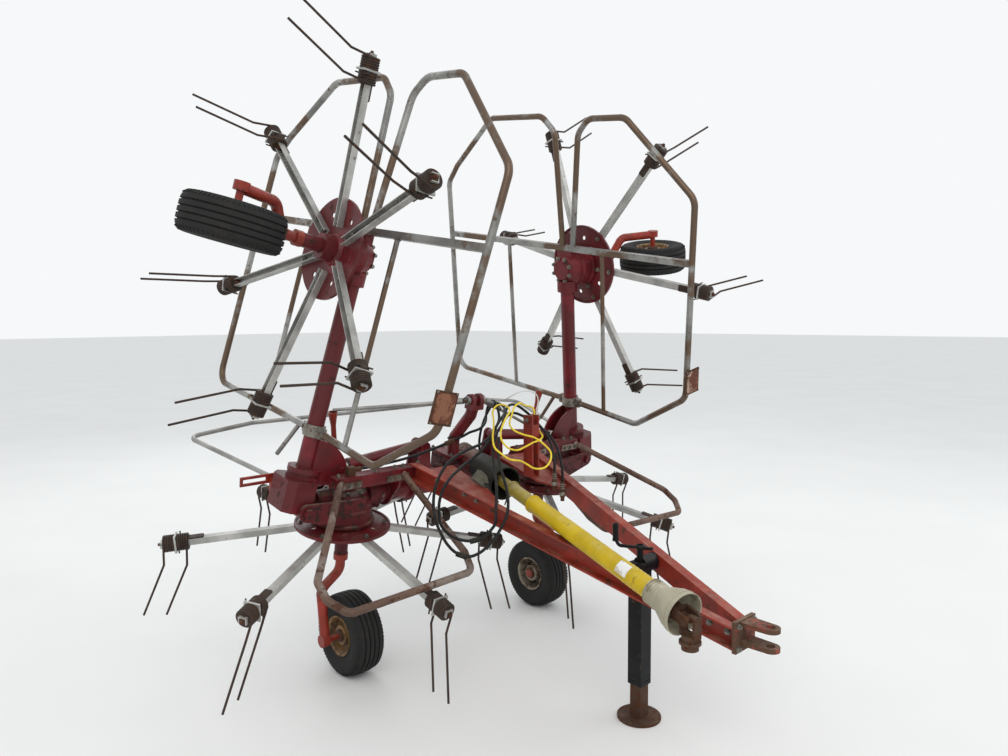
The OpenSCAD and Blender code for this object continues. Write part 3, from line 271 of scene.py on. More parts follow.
class Shape:
    """Collects solids for one piece."""

    def __init__(self):
        self.verts = []
        self.faces = []

    def add(self, verts, faces):
        """Adds one solid."""
        start = len(self.verts)
        self.verts += [Vector(v) for v in verts]
        self.faces += [[i + start for i in f] for f in faces]

    def lathe(self, centre, way, profile, sides=32, closed=False):
        """Turns (radius, height) points round the axis through centre."""
        a, b = basis(way)
        way = way.normalized()
        verts = [centre + way * h + around(a, b, 2 * math.pi * j / sides) * r
                 for r, h in profile for j in range(sides)]
        self.add(verts, tube_faces(len(profile), sides, closed))

    def rib(self, centre, way, foot, top, half, top_half, sides):
        """A ring round an axis, from its foot's radius to its top's, with half its width at each."""
        self.lathe(centre, way, [(foot, -half), (top, -top_half), (top, top_half), (foot, half)],
                   sides=sides, closed=True)

    def box(self, centre, x, y, z, size, round_by):
        """A box with its half sizes along three directions, its long edges cut by round_by."""
        cut = min(round_by, min(size[0], size[1]) * 0.45)
        outline = []
        for sx, sy in ((1, 1), (-1, 1), (-1, -1), (1, -1)):
            px, py = sx * size[0], sy * size[1]
            pair = [(px, py - sy * cut), (px - sx * cut, py)]
            outline += pair if sx * sy > 0 else pair[::-1]
        verts = [centre + x * p + y * q + z * (h * size[2]) for h in (-1, 1) for p, q in outline]
        self.add(verts, tube_faces(2, len(outline)))

    def sweep(self, points, radius, sides, swell=None):
        """A tube along points; swell(angle, distance) scales its radius."""
        ways = [(points[min(i + 1, len(points) - 1)] - points[max(i - 1, 0)]).normalized()
                for i in range(len(points))]
        a = basis(ways[0])[0]
        run = 0.0
        verts = []
        for i, (p, way) in enumerate(zip(points, ways)):
            a = (a - way * a.dot(way)).normalized()
            b = way.cross(a)
            if i:
                run += (p - points[i - 1]).length
            for j in range(sides):
                turn = 2 * math.pi * j / sides
                verts.append(p + around(a, b, turn) * (radius * (swell(turn, run) if swell else 1.0)))
        self.add(verts, tube_faces(len(points), sides))

    def sheet(self, rows, columns, layers, point):
        """A sheet with a closed edge; point(row, column, layer) is each of its points."""
        verts = [point(i, j, layer) for layer in layers for i in range(rows + 1) for j in range(columns + 1)]
        w, n = columns + 1, (rows + 1) * (columns + 1)
        faces = []
        for i in range(rows):
            for j in range(columns):
                quad = [i * w + j, i * w + j + 1, (i + 1) * w + j + 1, (i + 1) * w + j]
                faces += [quad, [k + n for k in quad[::-1]]]
        edge = [i * w for i in range(rows + 1)] + [rows * w + j for j in range(1, w)]
        edge += [i * w + columns for i in range(rows - 1, -1, -1)] + list(range(columns - 1, 0, -1))
        faces += [[p, q, q + n, p + n] for p, q in zip(edge, edge[1:] + edge[:1])]
        self.add(verts, faces)

    def piece(self, name, body, finish, slot, edge=35):
        """Makes one piece of the solids, sharp where faces meet at more than edge degrees."""
        obj = add_mesh(name, self.verts, self.faces)
        bm = bmesh.new()
        bm.from_mesh(obj.data)
        bmesh.ops.remove_doubles(bm, verts=bm.verts, dist=1e-6)
        bmesh.ops.recalc_face_normals(bm, faces=bm.faces)
        for face in bm.faces:
            face.smooth = True
        bm.to_mesh(obj.data)
        bm.free()
        obj.data.set_sharp_from_angle(angle=math.radians(edge))
        return finish_piece(obj, body, finish)


def spline_points(route, step, cuts=6):
    """An even run of points, in metres, along the smooth curve through the route. The curve is first
    followed in cuts from each of the route's points to the next."""
    p = [Vector(v) / 1000 for v in route]
    curve = []
    for i in range(len(p) - 1):
        a = p[i - 1] if i else 2 * p[0] - p[1]
        d = p[i + 2] if i < len(p) - 2 else 2 * p[i + 1] - p[i]
        b, c = p[i], p[i + 1]
        for k in range(cuts):
            t = k / cuts
            curve.append(0.5 * (2 * b + (c - a) * t + (2 * a - 5 * b + 4 * c - d) * t * t
                                + (3 * b - a - 3 * c + d) * t ** 3))
    curve.append(p[-1])
    runs = [0.0]
    for q, r in zip(curve, curve[1:]):
        runs.append(runs[-1] + (r - q).length)
    count = max(2, round(runs[-1] / step))
    out, i = [], 0
    for k in range(count + 1):
        g = runs[-1] * k / count
        while i < len(runs) - 2 and runs[i + 1] < g:
            i += 1
        f = (g - runs[i]) / max(1e-9, runs[i + 1] - runs[i])
        out.append(curve[i].lerp(curve[i + 1], min(1.0, f)))
    return out


# Nodes

class Nodes:
    """Adds nodes to one tree, and sets or links their inputs."""

    def __init__(self, tree):
        tree.nodes.clear()
        self.new, self.link = tree.nodes.new, tree.links.new

    def put(self, socket, value):
        """Links an output to the socket or sets its value; a colour gets its alpha."""
        if isinstance(value, bpy.types.NodeSocket):
            self.link(value, socket)
        elif socket.type == "RGBA":
            socket.default_value = (*value, 1.0)
        else:
            socket.default_value = value

    def add(self, kind, inputs, **settings):
        """A node with its settings, then its inputs by name or number."""
        node = self.new(kind)
        for name, value in settings.items():
            setattr(node, name, value)
        for key, value in inputs.items():
            self.put(node.inputs[key], value)
        return node

    def math(self, operation, *values):
        return self.add("ShaderNodeMath", dict(enumerate(values)), operation=operation).outputs[0]

    def vector(self, *parts):
        return self.add("ShaderNodeCombineXYZ", dict(enumerate(parts))).outputs[0]


# Repeats, made by Geometry Nodes

def start_tree(name, sizes, seed=None):
    """A tree with named sizes, a seed where it draws, and the finish as its inputs."""
    tree = bpy.data.node_groups.new(name, "GeometryNodeTree")

    def socket(label, kind, way="INPUT"):
        return tree.interface.new_socket(label, in_out=way, socket_type="NodeSocket" + kind)

    socket("Geometry", "Geometry")
    for label, value in sizes:
        size = socket(label, "Float")
        size.default_value = value
        size.subtype = "DISTANCE"
    if seed is not None:
        socket("Seed", "Int").default_value = seed
    socket("Finish", "Material")
    socket("Geometry", "Geometry", "OUTPUT")
    nodes = Nodes(tree)
    return tree, nodes, nodes.new("NodeGroupInput").outputs


def end_tree(nodes, given, shape, rotation):
    """Sets the turned shape on each point, as a real mesh in its finish."""
    place = nodes.add("GeometryNodeInstanceOnPoints",
                      {"Points": given["Geometry"], "Instance": shape, "Rotation": rotation})
    real = nodes.add("GeometryNodeRealizeInstances", {0: place.outputs[0]})
    paint = nodes.add("GeometryNodeSetMaterial", {"Geometry": real.outputs[0], "Material": given["Finish"]})
    nodes.add("NodeGroupOutput", {0: paint.outputs[0]})


def turn_to(nodes, axis, label, inputs=None, **settings):
    """Turns an axis to the vector that each point carries under a label."""
    carried = nodes.add("GeometryNodeInputNamedAttribute", {"Name": label}, data_type="FLOAT_VECTOR")
    return nodes.add("FunctionNodeAlignRotationToVector",
                     {"Vector": carried.outputs["Attribute"], **(inputs or {})},
                     axis=axis, **settings).outputs["Rotation"]


def fastener_tree():
    """Hexagon head on a washer with a stub of thread, set on each point along its aim."""
    tree, nodes, given = start_tree("Fasteners", (
        ("Head Radius", 0.011), ("Head Height", 0.009), ("Washer Radius", 0.013),
        ("Washer Thickness", 0.002), ("Thread Radius", 0.006), ("Thread Length", 0.004)), seed=7)

    def cylinder(sides, radius, depth, lift):
        drum = nodes.add("GeometryNodeMeshCylinder",
                         {"Vertices": sides, "Radius": given[radius], "Depth": given[depth]})
        middle = nodes.vector(0.0, 0.0, nodes.math("MULTIPLY_ADD", given[depth], 0.5, lift))
        return nodes.add("GeometryNodeTransform",
                         {"Geometry": drum.outputs["Mesh"], "Translation": middle}).outputs[0]

    washer_top = given["Washer Thickness"]
    head_top = nodes.math("ADD", washer_top, given["Head Height"])
    join = nodes.new("GeometryNodeJoinGeometry")
    for part in (cylinder(16, "Washer Radius", "Washer Thickness", 0.0),
                 cylinder(6, "Head Radius", "Head Height", washer_top),
                 cylinder(10, "Thread Radius", "Thread Length", head_top)):
        nodes.link(part, join.inputs[0])
    chance = nodes.add("FunctionNodeRandomValue", {"Max": math.pi / 3, "Seed": given["Seed"]},
                       data_type="FLOAT")
    drawn = next(o for o in chance.outputs if o.enabled)
    spin = nodes.add("FunctionNodeEulerToRotation", {0: nodes.vector(0.0, 0.0, drawn)})
    both = nodes.add("FunctionNodeRotateRotation",
                     {"Rotation": turn_to(nodes, "Z", "aim"), "Rotate By": spin.outputs[0]},
                     rotation_space="LOCAL")
    end_tree(nodes, given, join.outputs[0], both.outputs["Rotation"])
    return tree


def shoulder_tree():
    """A short bar on each point of a tyre's shoulders, turned to its aim and ahead vectors."""
    tree, nodes, given = start_tree("Shoulder Bars", (
        ("Bar Width", 0.005), ("Bar Length", 0.018), ("Bar Depth", 0.005)))
    size = nodes.vector(given["Bar Width"], given["Bar Length"], given["Bar Depth"])
    bar = nodes.add("GeometryNodeMeshCube", {"Size": size})
    aimed = turn_to(nodes, "Z", "aim")
    end_tree(nodes, given, bar.outputs["Mesh"],
             turn_to(nodes, "Y", "ahead", {"Rotation": aimed}, pivot_axis="Z"))
    return tree


def grow(name, tree, points, vectors, values, finish):
    """Runs a tree on bare points that carry vectors, and keeps the result as a plain mesh."""
    obj = add_mesh(name, points, [])
    for label, rows in vectors.items():
        data = obj.data.attributes.new(label, "FLOAT_VECTOR", "POINT")
        for item, row in zip(data.data, rows):
            item.vector = row
    mod = obj.modifiers.new("Grow", "NODES")
    mod.node_group = tree
    ids = {s.name: s.identifier for s in tree.interface.items_tree if s.in_out == "INPUT"}
    for label, value in values.items():
        mod[ids[label]] = value
    mod[ids["Finish"]] = bpy.data.materials["worn_" + finish]
    graph = bpy.context.evaluated_depsgraph_get()
    done = bpy.data.meshes.new_from_object(obj.evaluated_get(graph))
    obj.modifiers.remove(mod)
    obj.data = done
    if not len(done.polygons):
        raise RuntimeError(name + " came out empty")
    return obj


# A washer's and a thread's radius for a head's
WASHER_TO_HEAD, THREAD_TO_HEAD = 1.28, 0.52


def fasteners(name, spots, body, finish, head=0.0095, height=0.008, thread=0.004, washer=0.002):
    """Bolt heads or nuts at (point, way) spots."""
    tree = bpy.data.node_groups.get("Fasteners") or fastener_tree()
    obj = grow(name, tree, [p for p, w in spots], {"aim": [w.normalized() for p, w in spots]},
               {"Head Radius": head, "Head Height": height, "Washer Radius": head * WASHER_TO_HEAD,
                "Washer Thickness": washer, "Thread Radius": head * THREAD_TO_HEAD,
                "Thread Length": thread}, finish)
    return finish_piece(obj, body, finish)


# Materials

class SkinNodes(Nodes):
    """The nodes of a surface, with patterns in the object's own coordinates."""

    def __init__(self, name):
        self.mat = bpy.data.materials.new(name)
        self.mat.use_nodes = True
        super().__init__(self.mat.node_tree)
        self.place = self.new("ShaderNodeTexCoord").outputs["Object"]

    def noise(self, scale, detail, roughness, offset):
        moved = self.add("ShaderNodeMapping", {"Location": (offset, offset * 0.7, -offset),
                                               "Vector": self.place})
        return self.add("ShaderNodeTexNoise", {"Scale": scale, "Detail": detail, "Roughness": roughness,
                                               "Vector": moved.outputs[0]}).outputs["Fac"]

    def ramp(self, source, low, high):
        return self.add("ShaderNodeMapRange", {"From Min": low, "From Max": high, "Value": source},
                        interpolation_type="SMOOTHSTEP").outputs["Result"]

    def blend(self, share, a, b):
        return self.add("ShaderNodeMix", {"Factor": share, 6: a, 7: b}, data_type="RGBA").outputs[2]

    def surface(self, inputs):
        skin = self.add("ShaderNodeBsdfPrincipled", inputs)
        self.add("ShaderNodeOutputMaterial", {0: skin.outputs[0]})


def worn_finish(name, base, worn, dusty, rough, share, grain, dust, bump, metal=0.0, worn_rough=0.85,
                shift=0.25, coat=0.0, second=None, second_share=0.5, gloss=0.3):
    """Paint, metal or rubber with tone changes, patches of a second tone, a share of worn spots at the
    scale of grain, dust on what faces up, and fine bumps. Base, worn and dusty are its colours."""
    nodes = SkinNodes("worn_" + name)
    dark = tuple(c * (1 - shift) for c in base)
    light = tuple(min(1.0, c * (1 + shift)) for c in base)
    colour = nodes.blend(nodes.ramp(nodes.noise(5.0, 4, 0.6, 0.0), 0.35, 0.65), dark, light)
    if second:
        patches = nodes.ramp(nodes.noise(3.1, 5, 0.62, 9.0), second_share - 0.04, second_share + 0.05)
        colour = nodes.blend(patches, colour, second)
    spots = nodes.ramp(nodes.noise(grain, 8, 0.68, 3.0), 1 - share, 1 - share + 0.05)
    colour = nodes.blend(spots, colour, worn)
    normal = nodes.add("ShaderNodeSeparateXYZ", {0: nodes.new("ShaderNodeNewGeometry").outputs["Normal"]})
    facing_up = nodes.ramp(normal.outputs["Z"], 0.35, 0.95)
    settled = nodes.ramp(nodes.noise(14.0, 6, 0.7, 6.0), 0.62 - dust * 0.5, 0.85 - dust * 0.3)
    colour = nodes.blend(nodes.math("MULTIPLY", facing_up, settled), colour, dusty)
    roughness = nodes.add("ShaderNodeMapRange", {"Value": spots, "To Min": rough, "To Max": worn_rough})
    height = nodes.math("MULTIPLY_ADD", spots, -0.5, nodes.noise(grain * 6, 5, 0.6, 1.0))
    bumps = nodes.add("ShaderNodeBump", {"Strength": bump, "Distance": 0.002, "Height": height})
    nodes.surface({"Base Color": colour, "Metallic": metal, "Roughness": roughness.outputs["Result"],
                   "Coat Weight": coat, "Specular IOR Level": gloss, "Normal": bumps.outputs[0]})


# What a user may change

class TedderPaint(bpy.types.PropertyGroup):
    """Colours of the paint and metal, in linear light."""

    maroon: bpy.props.FloatVectorProperty(
        name="Casting Red", description="Maroon of castings, tubes and discs", subtype="COLOR",
        size=3, min=0, max=1, default=(0.130, 0.0085, 0.0120))
    orange: bpy.props.FloatVectorProperty(
        name="Drawbar Red", description="Orange red of the drawbar, posts and wheel legs", subtype="COLOR",
        size=3, min=0, max=1, default=(0.275, 0.030, 0.016))
    zinc: bpy.props.FloatVectorProperty(
        name="Zinc", description="Dull galvanised arms and guard tubes", subtype="COLOR",
        size=3, min=0, max=1, default=(0.300, 0.295, 0.280))
    guard_yellow: bpy.props.FloatVectorProperty(
        name="Shaft Guard", description="Yellow of the drive shaft's guard tubes", subtype="COLOR",
        size=3, min=0, max=1, default=(0.540, 0.370, 0.006))
    rust: bpy.props.FloatVectorProperty(
        name="Rust", description="Rust brown", subtype="COLOR", size=3, min=0, max=1,
        default=(0.085, 0.032, 0.014))
    wear: bpy.props.FloatProperty(
        name="Wear", description="Share of paint that is worn off", subtype="FACTOR", min=0.2, max=0.6,
        default=0.40)


class TedderSizes(bpy.types.PropertyGroup):
    """Sizes of the added pieces."""

    hose: bpy.props.FloatProperty(
        name="Hose", description="Hose diameter", unit="LENGTH", min=0.010, max=0.013, default=0.013)
    yellow_rope: bpy.props.FloatProperty(
        name="Yellow Rope", description="Yellow rope's diameter", unit="LENGTH", min=0.006, max=0.009,
        default=0.009)
    white_rope: bpy.props.FloatProperty(
        name="White Cord", description="White cord's diameter", unit="LENGTH", min=0.004, max=0.006,
        default=0.006)
    bolt_head: bpy.props.FloatProperty(
        name="Bolt Head", description="Radius of a common bolt's head", unit="LENGTH", min=0.007, max=0.013,
        default=0.0095)
    tread_bars: bpy.props.IntProperty(
        name="Shoulder Bars", description="Bars round each shoulder of a tyre", min=24, max=96, default=64)


class TedderStage(bpy.types.PropertyGroup):
    """Floor and light."""

    floor: bpy.props.FloatVectorProperty(
        name="Floor", description="Floor colour", subtype="COLOR", size=3, min=0, max=1,
        default=(0.80, 0.79, 0.77))
    sky: bpy.props.FloatProperty(
        name="Sky", description="Strength of the even light", min=0, max=3, default=0.92)
    key: bpy.props.FloatProperty(
        name="Key Lamp", description="Power of the large soft lamp", min=0, max=3000, default=190)


# Operators

class TedderOperator:
    """What every operator here shares."""

    bl_options = {"REGISTER", "UNDO"}


class TEDDER_OT_camera(TedderOperator, bpy.types.Operator):
    """Set the camera where the photograph was taken"""

    bl_idname = "tedder.camera"
    bl_label = "Camera"

    def execute(self, context):
        yaw, pitch, roll = (math.radians(a) for a in (47.285, 4.549, -0.407))
        ahead = Vector((math.cos(yaw), math.sin(yaw), 0))
        right = Vector((math.sin(yaw), -math.cos(yaw), 0))
        look = ahead * math.cos(pitch) - Vector((0, 0, 1)) * math.sin(pitch)
        up = Vector((0, 0, 1)) * math.cos(pitch) + ahead * math.sin(pitch)
        x = right * math.cos(roll) + up * math.sin(roll)
        y = up * math.cos(roll) - right * math.sin(roll)
        data = bpy.data.cameras.new("Camera")
        data.sensor_width = 36
        focal_pixels, image_width = 758.8, 1008
        data.lens = data.sensor_width * focal_pixels / image_width
        data.clip_end = 200
        cam = bpy.data.objects.new("Camera", data)
        context.scene.collection.objects.link(cam)
        turn = Matrix((x, y, -look)).transposed().to_4x4()
        cam.matrix_world = Matrix.Translation((-2.400, -1.249, 1.115)) @ turn
        context.scene.camera = cam
        return {"FINISHED"}


class TEDDER_OT_finishes(TedderOperator, bpy.types.Operator):
    """Make the paint, rust, rubber and rope materials"""

    bl_idname = "tedder.finishes"
    bl_label = "Finishes"

    def execute(self, context):
        paint = context.scene.tedder_paint
        maroon, orange, zinc = tuple(paint.maroon), tuple(paint.orange), tuple(paint.zinc)
        yellow, wear = tuple(paint.guard_yellow), paint.wear
        plain_dust = (0.30, 0.27, 0.22)
        # Colours: base, worn, dusty. Then roughness, share and scale of the worn spots, dust and bumps.
        worn_finish("maroon_paint", maroon, (0.040, 0.014, 0.011), (0.125, 0.055, 0.045),
                    0.42, wear, 22, 0.42, 0.22, coat=0.08, second=(0.092, 0.0085, 0.0105))
        worn_finish("cast_case", tuple(c * 0.70 for c in maroon), (0.030, 0.014, 0.012),
                    (0.16, 0.105, 0.075), 0.5, wear + 0.08, 34, 0.6, 0.5)
        worn_finish("orange_paint", orange, (0.085, 0.040, 0.026), (0.30, 0.125, 0.085),
                    0.42, wear, 18, 0.45, 0.2, coat=0.06, second=(0.190, 0.026, 0.016), second_share=0.52)
        worn_finish("worn_hitch", (0.235, 0.052, 0.030), (0.095, 0.050, 0.030), (0.20, 0.13, 0.09),
                    0.6, wear + 0.16, 16, 0.5, 0.35)
        worn_finish("zinc", zinc, (0.17, 0.13, 0.10), (0.33, 0.31, 0.28),
                    0.42, wear - 0.06, 30, 0.3, 0.12, metal=0.75, worn_rough=0.7)
        worn_finish("zinc_arm", tuple(c * 1.35 for c in zinc), (0.20, 0.17, 0.14), (0.36, 0.34, 0.30),
                    0.46, wear - 0.02, 38, 0.25, 0.12, metal=0.6, worn_rough=0.7)
        worn_finish("rusty_tube", (0.135, 0.082, 0.060), (0.090, 0.042, 0.026), (0.20, 0.16, 0.125),
                    0.55, 0.46, 24, 0.25, 0.2, metal=0.4, second=(0.235, 0.190, 0.160), second_share=0.54)
        worn_finish("mixed_tube", tuple(c * 0.90 for c in zinc), (0.17, 0.12, 0.088), (0.28, 0.25, 0.22),
                    0.40, wear + 0.02, 26, 0.2, 0.14, metal=0.75, second=(0.135, 0.092, 0.064),
                    second_share=0.49)
        worn_finish("spring_steel", (0.040, 0.027, 0.021), (0.075, 0.038, 0.022), (0.14, 0.11, 0.085),
                    0.55, 0.46, 60, 0.2, 0.25, metal=0.35)
        worn_finish("rusty_steel", (0.080, 0.042, 0.026), tuple(paint.rust), (0.17, 0.12, 0.085),
                    0.72, 0.5, 30, 0.3, 0.45, metal=0.3)
        worn_finish("bolt_steel", (0.26, 0.24, 0.21), (0.13, 0.075, 0.045), plain_dust,
                    0.45, 0.46, 140, 0.2, 0.1, metal=0.8)
        worn_finish("bright_rod", (0.52, 0.50, 0.48), (0.22, 0.15, 0.11), plain_dust,
                    0.22, 0.38, 44, 0.1, 0.03, metal=1.0)
        worn_finish("black_paint", (0.010, 0.010, 0.011), (0.045, 0.033, 0.026), (0.05, 0.045, 0.038),
                    0.42, 0.40, 24, 0.35, 0.2, gloss=0.15)
        worn_finish("yellow_guard", yellow, (0.330, 0.220, 0.020), (0.52, 0.42, 0.10),
                    0.40, 0.42, 9, 0.35, 0.08, shift=0.12)
        worn_finish("olive_guard", (yellow[0] * 0.62, yellow[1] * 0.70, 0.030), (0.200, 0.150, 0.040),
                    (0.40, 0.33, 0.16), 0.5, 0.5, 11, 0.6, 0.1, shift=0.2)
        worn_finish("cone_grey", (0.360, 0.330, 0.240), (0.22, 0.19, 0.13), (0.55, 0.50, 0.38),
                    0.6, 0.45, 13, 0.3, 0.12, shift=0.15)
        worn_finish("bell_black", (0.013, 0.013, 0.010), (0.034, 0.033, 0.018), (0.045, 0.042, 0.024),
                    0.55, 0.44, 13, 0.3, 0.15, gloss=0.2)
        worn_finish("hose_rubber", (0.012, 0.012, 0.012), (0.034, 0.032, 0.029), (0.045, 0.042, 0.038),
                    0.46, 0.42, 40, 0.3, 0.1, gloss=0.18)
        worn_finish("tyre_rubber", (0.020, 0.0195, 0.019), (0.029, 0.027, 0.025), (0.048, 0.044, 0.038),
                    0.72, 0.45, 20, 0.2, 0.25, shift=0.12, gloss=0.15)
        worn_finish("gold_rim", (0.230, 0.130, 0.050), (0.100, 0.060, 0.038), (0.24, 0.18, 0.12),
                    0.5, 0.5, 26, 0.45, 0.25)
        worn_finish("beige_rim", (0.210, 0.180, 0.135), (0.095, 0.062, 0.040), (0.25, 0.21, 0.16),
                    0.55, 0.5, 26, 0.45, 0.25)
        worn_finish("yellow_fibre", (0.80, 0.60, 0.035), (0.62, 0.45, 0.05), (0.75, 0.66, 0.30),
                    0.62, 0.46, 120, 0.15, 0.1, shift=0.12)
        worn_finish("white_fibre", (0.66, 0.66, 0.64), (0.46, 0.45, 0.42), plain_dust,
                    0.7, 0.45, 120, 0.1, 0.1, shift=0.08)
        worn_finish("white_patch", (0.78, 0.78, 0.76), (0.52, 0.46, 0.33), plain_dust,
                    0.5, 0.42, 34, 0.1, 0.05, shift=0.05)
        worn_finish("grey_flap", (0.120, 0.112, 0.085), (0.095, 0.085, 0.060), (0.17, 0.155, 0.12),
                    0.65, 0.5, 16, 0.3, 0.2, gloss=0.2)
        worn_finish("plate_face", (0.36, 0.27, 0.21), (0.115, 0.040, 0.022), plain_dust,
                    0.6, 0.54, 15, 0.2, 0.15, second=(0.21, 0.085, 0.045), second_share=0.52)
        return {"FINISHED"}


# Each cord's size, finish, far end, stiffness and lay
CORDS = {
    "hose_outer": ("hose", "hose_rubber", "plug", "stiff", "hanging"),
    "hose_side": ("hose", "hose_rubber", "fitting", "stiff", "loose"),
    "hose_inner": ("hose", "hose_rubber", "plug", "stiff", "hanging"),
    "rope_yellow": ("yellow_rope", "yellow_fibre", "object", "limp", "loose"),
    "rope_white": ("white_rope", "white_fibre", "object", "medium", "loose"),
}


class TEDDER_OT_cords(TedderOperator, bpy.types.Operator):
    """Lay the hoses and ropes along their routes"""

    bl_idname = "tedder.cords"
    bl_label = "Hoses and Ropes"

    def execute(self, context):
        sizes = context.scene.tedder_sizes
        for node, (size, finish, far_end, stiffness, lay) in CORDS.items():
            d = getattr(sizes, size)
            rope = node.startswith("rope")
            path = spline_points(ROUTES[node], 0.003 if rope else 0.009)
            shape = Shape()
            if rope:
                # Three strands, one turn in each lay length
                lay_length = d * 3.2
                shape.sweep(path, d / 2, 12, lambda turn, run: 0.84 + 0.16 * abs(
                    math.cos(1.5 * (turn - 2 * math.pi * run / lay_length))))
            else:
                shape.sweep(path, d / 2, 16)
            cord = shape.piece(node + "_dressed", "frame", finish, node if rope else "hose_rubber", edge=60)
            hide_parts(node)
        return {"FINISHED"}


# The finish of the solids whose names start so; the others are maroon
NODE_FINISH = {
    "orange_paint": ("drawbar_rails", "guard_posts", "leg_"),
    "worn_hitch": ("hitch_clevis",),
    "black_paint": ("jack_tube",),
    "rusty_steel": ("jack_leg", "shaft_fork", "shaft_yoke", "wing_marker", "couplers"),
    "rusty_tube": ("front_guards",),
    "zinc": ("rear_guard", "tie_rods"),
    "mixed_tube": ("wing_guards",),
    "zinc_arm": ("arms_",),
    "spring_steel": ("tines_",),
    "bright_rod": ("cylinder_rod",),
    "tyre_rubber": ("tyre_",),
    "beige_rim": ("rim_inner_left", "rim_outer_right"),
    "gold_rim": ("rim_inner_right", "rim_outer_left"),
    "olive_guard": ("shaft_tube_rear",),
    "yellow_guard": ("shaft_tube_front",),
    "cone_grey": ("shaft_cone",),
    "bell_black": ("shaft_bell",),
    "cast_case": ("inner_gearboxes", "centre_gearbox"),
    "hose_rubber": ("hose",),
    "yellow_fibre": ("rope_yellow",),
    "white_fibre": ("rope_white",),
}


class TEDDER_OT_solids(TedderOperator, bpy.types.Operator):
    """Give every solid of the frame its finish"""

    bl_idname = "tedder.solids"
    bl_label = "Solids"

    def execute(self, context):
        for name, obj in NODES.items():
            finish = next((f for f, starts in NODE_FINISH.items() if name.startswith(starts)), "maroon_paint")
            mat = bpy.data.materials["worn_" + finish]
            if not obj.material_slots:
                obj.data.materials.append(mat)
            for slot in obj.material_slots:
                slot.material = mat
        return {"FINISHED"}


class TEDDER_OT_rotor_bolts(TedderOperator, bpy.types.Operator):
    """Bolt the arms to the discs and the tines to the arms"""

    bl_idname = "tedder.rotor_bolts"
    bl_label = "Rotor Bolts"

    def execute(self, context):
        for rotor in ROTORS:
            self.bolts(rotor, "rotor_" + rotor, context.scene.tedder_sizes.bolt_head)
            self.clamps(rotor, "rotor_" + rotor)
        return {"FINISHED"}

    def bolts(self, rotor, body, head):
        """Two bolts through each arm and the disc, and one on each end of a tine's coils."""
        top, under, tine = [], [], []
        for k in range(6):
            for along in (0.022, 0.092):
                top.append((arm_place(rotor, k, along, 0, 0.0063), arm_way(rotor, k, 0, 0, 1)))
                under.append((arm_place(rotor, k, along, 0, -0.0040), arm_way(rotor, k, 0, 0, -1)))
            for s in (1, -1):
                tine.append((arm_place(rotor, k, COIL_ALONG + s * 0.0517, 0, COIL_LIFT),
                             arm_way(rotor, k, s, 0, 0)))
        fasteners("disc_bolts_" + rotor, top, body, "bolt_steel", head=head)
        fasteners("arm_nuts_" + rotor, under, body, "bolt_steel", head=head * 0.95, thread=0.009)
        fasteners("tine_bolts_" + rotor, tine, body, "rusty_steel", head=0.0125,
                  height=0.010, thread=0.008, washer=0.004)

    def clamps(self, rotor, body):
        """A drum inside each coil, a plate on the arm and two cheeks beside it."""
        drum = [(0.012, 0.0), (0.030, 0.0), (0.0305, 0.003), (0.027, 0.0485), (0.012, 0.0485)]
        shape = Shape()
        for k in range(6):
            across, along, up = (arm_way(rotor, k, *way) for way in ((0, 1, 0), (1, 0, 0), (0, 0, 1)))
            for s in (-1, 1):
                shape.lathe(arm_place(rotor, k, COIL_ALONG + s * 0.0040, 0, COIL_LIFT), along * s, drum,
                            sides=20)
            shape.box(arm_place(rotor, k, COIL_ALONG - 0.062, 0, 0.0035), across, along, up,
                      (0.017, 0.052, 0.0032), 0.004)
            for side in (-1, 1):
                shape.box(arm_place(rotor, k, COIL_ALONG - 0.014, side * 0.0355, COIL_LIFT), along, up,
                          across, (0.0028, 0.0365, 0.0020), 0.001)
        shape.piece("tine_clamps_" + rotor, body, "spring_steel", "spring_steel")


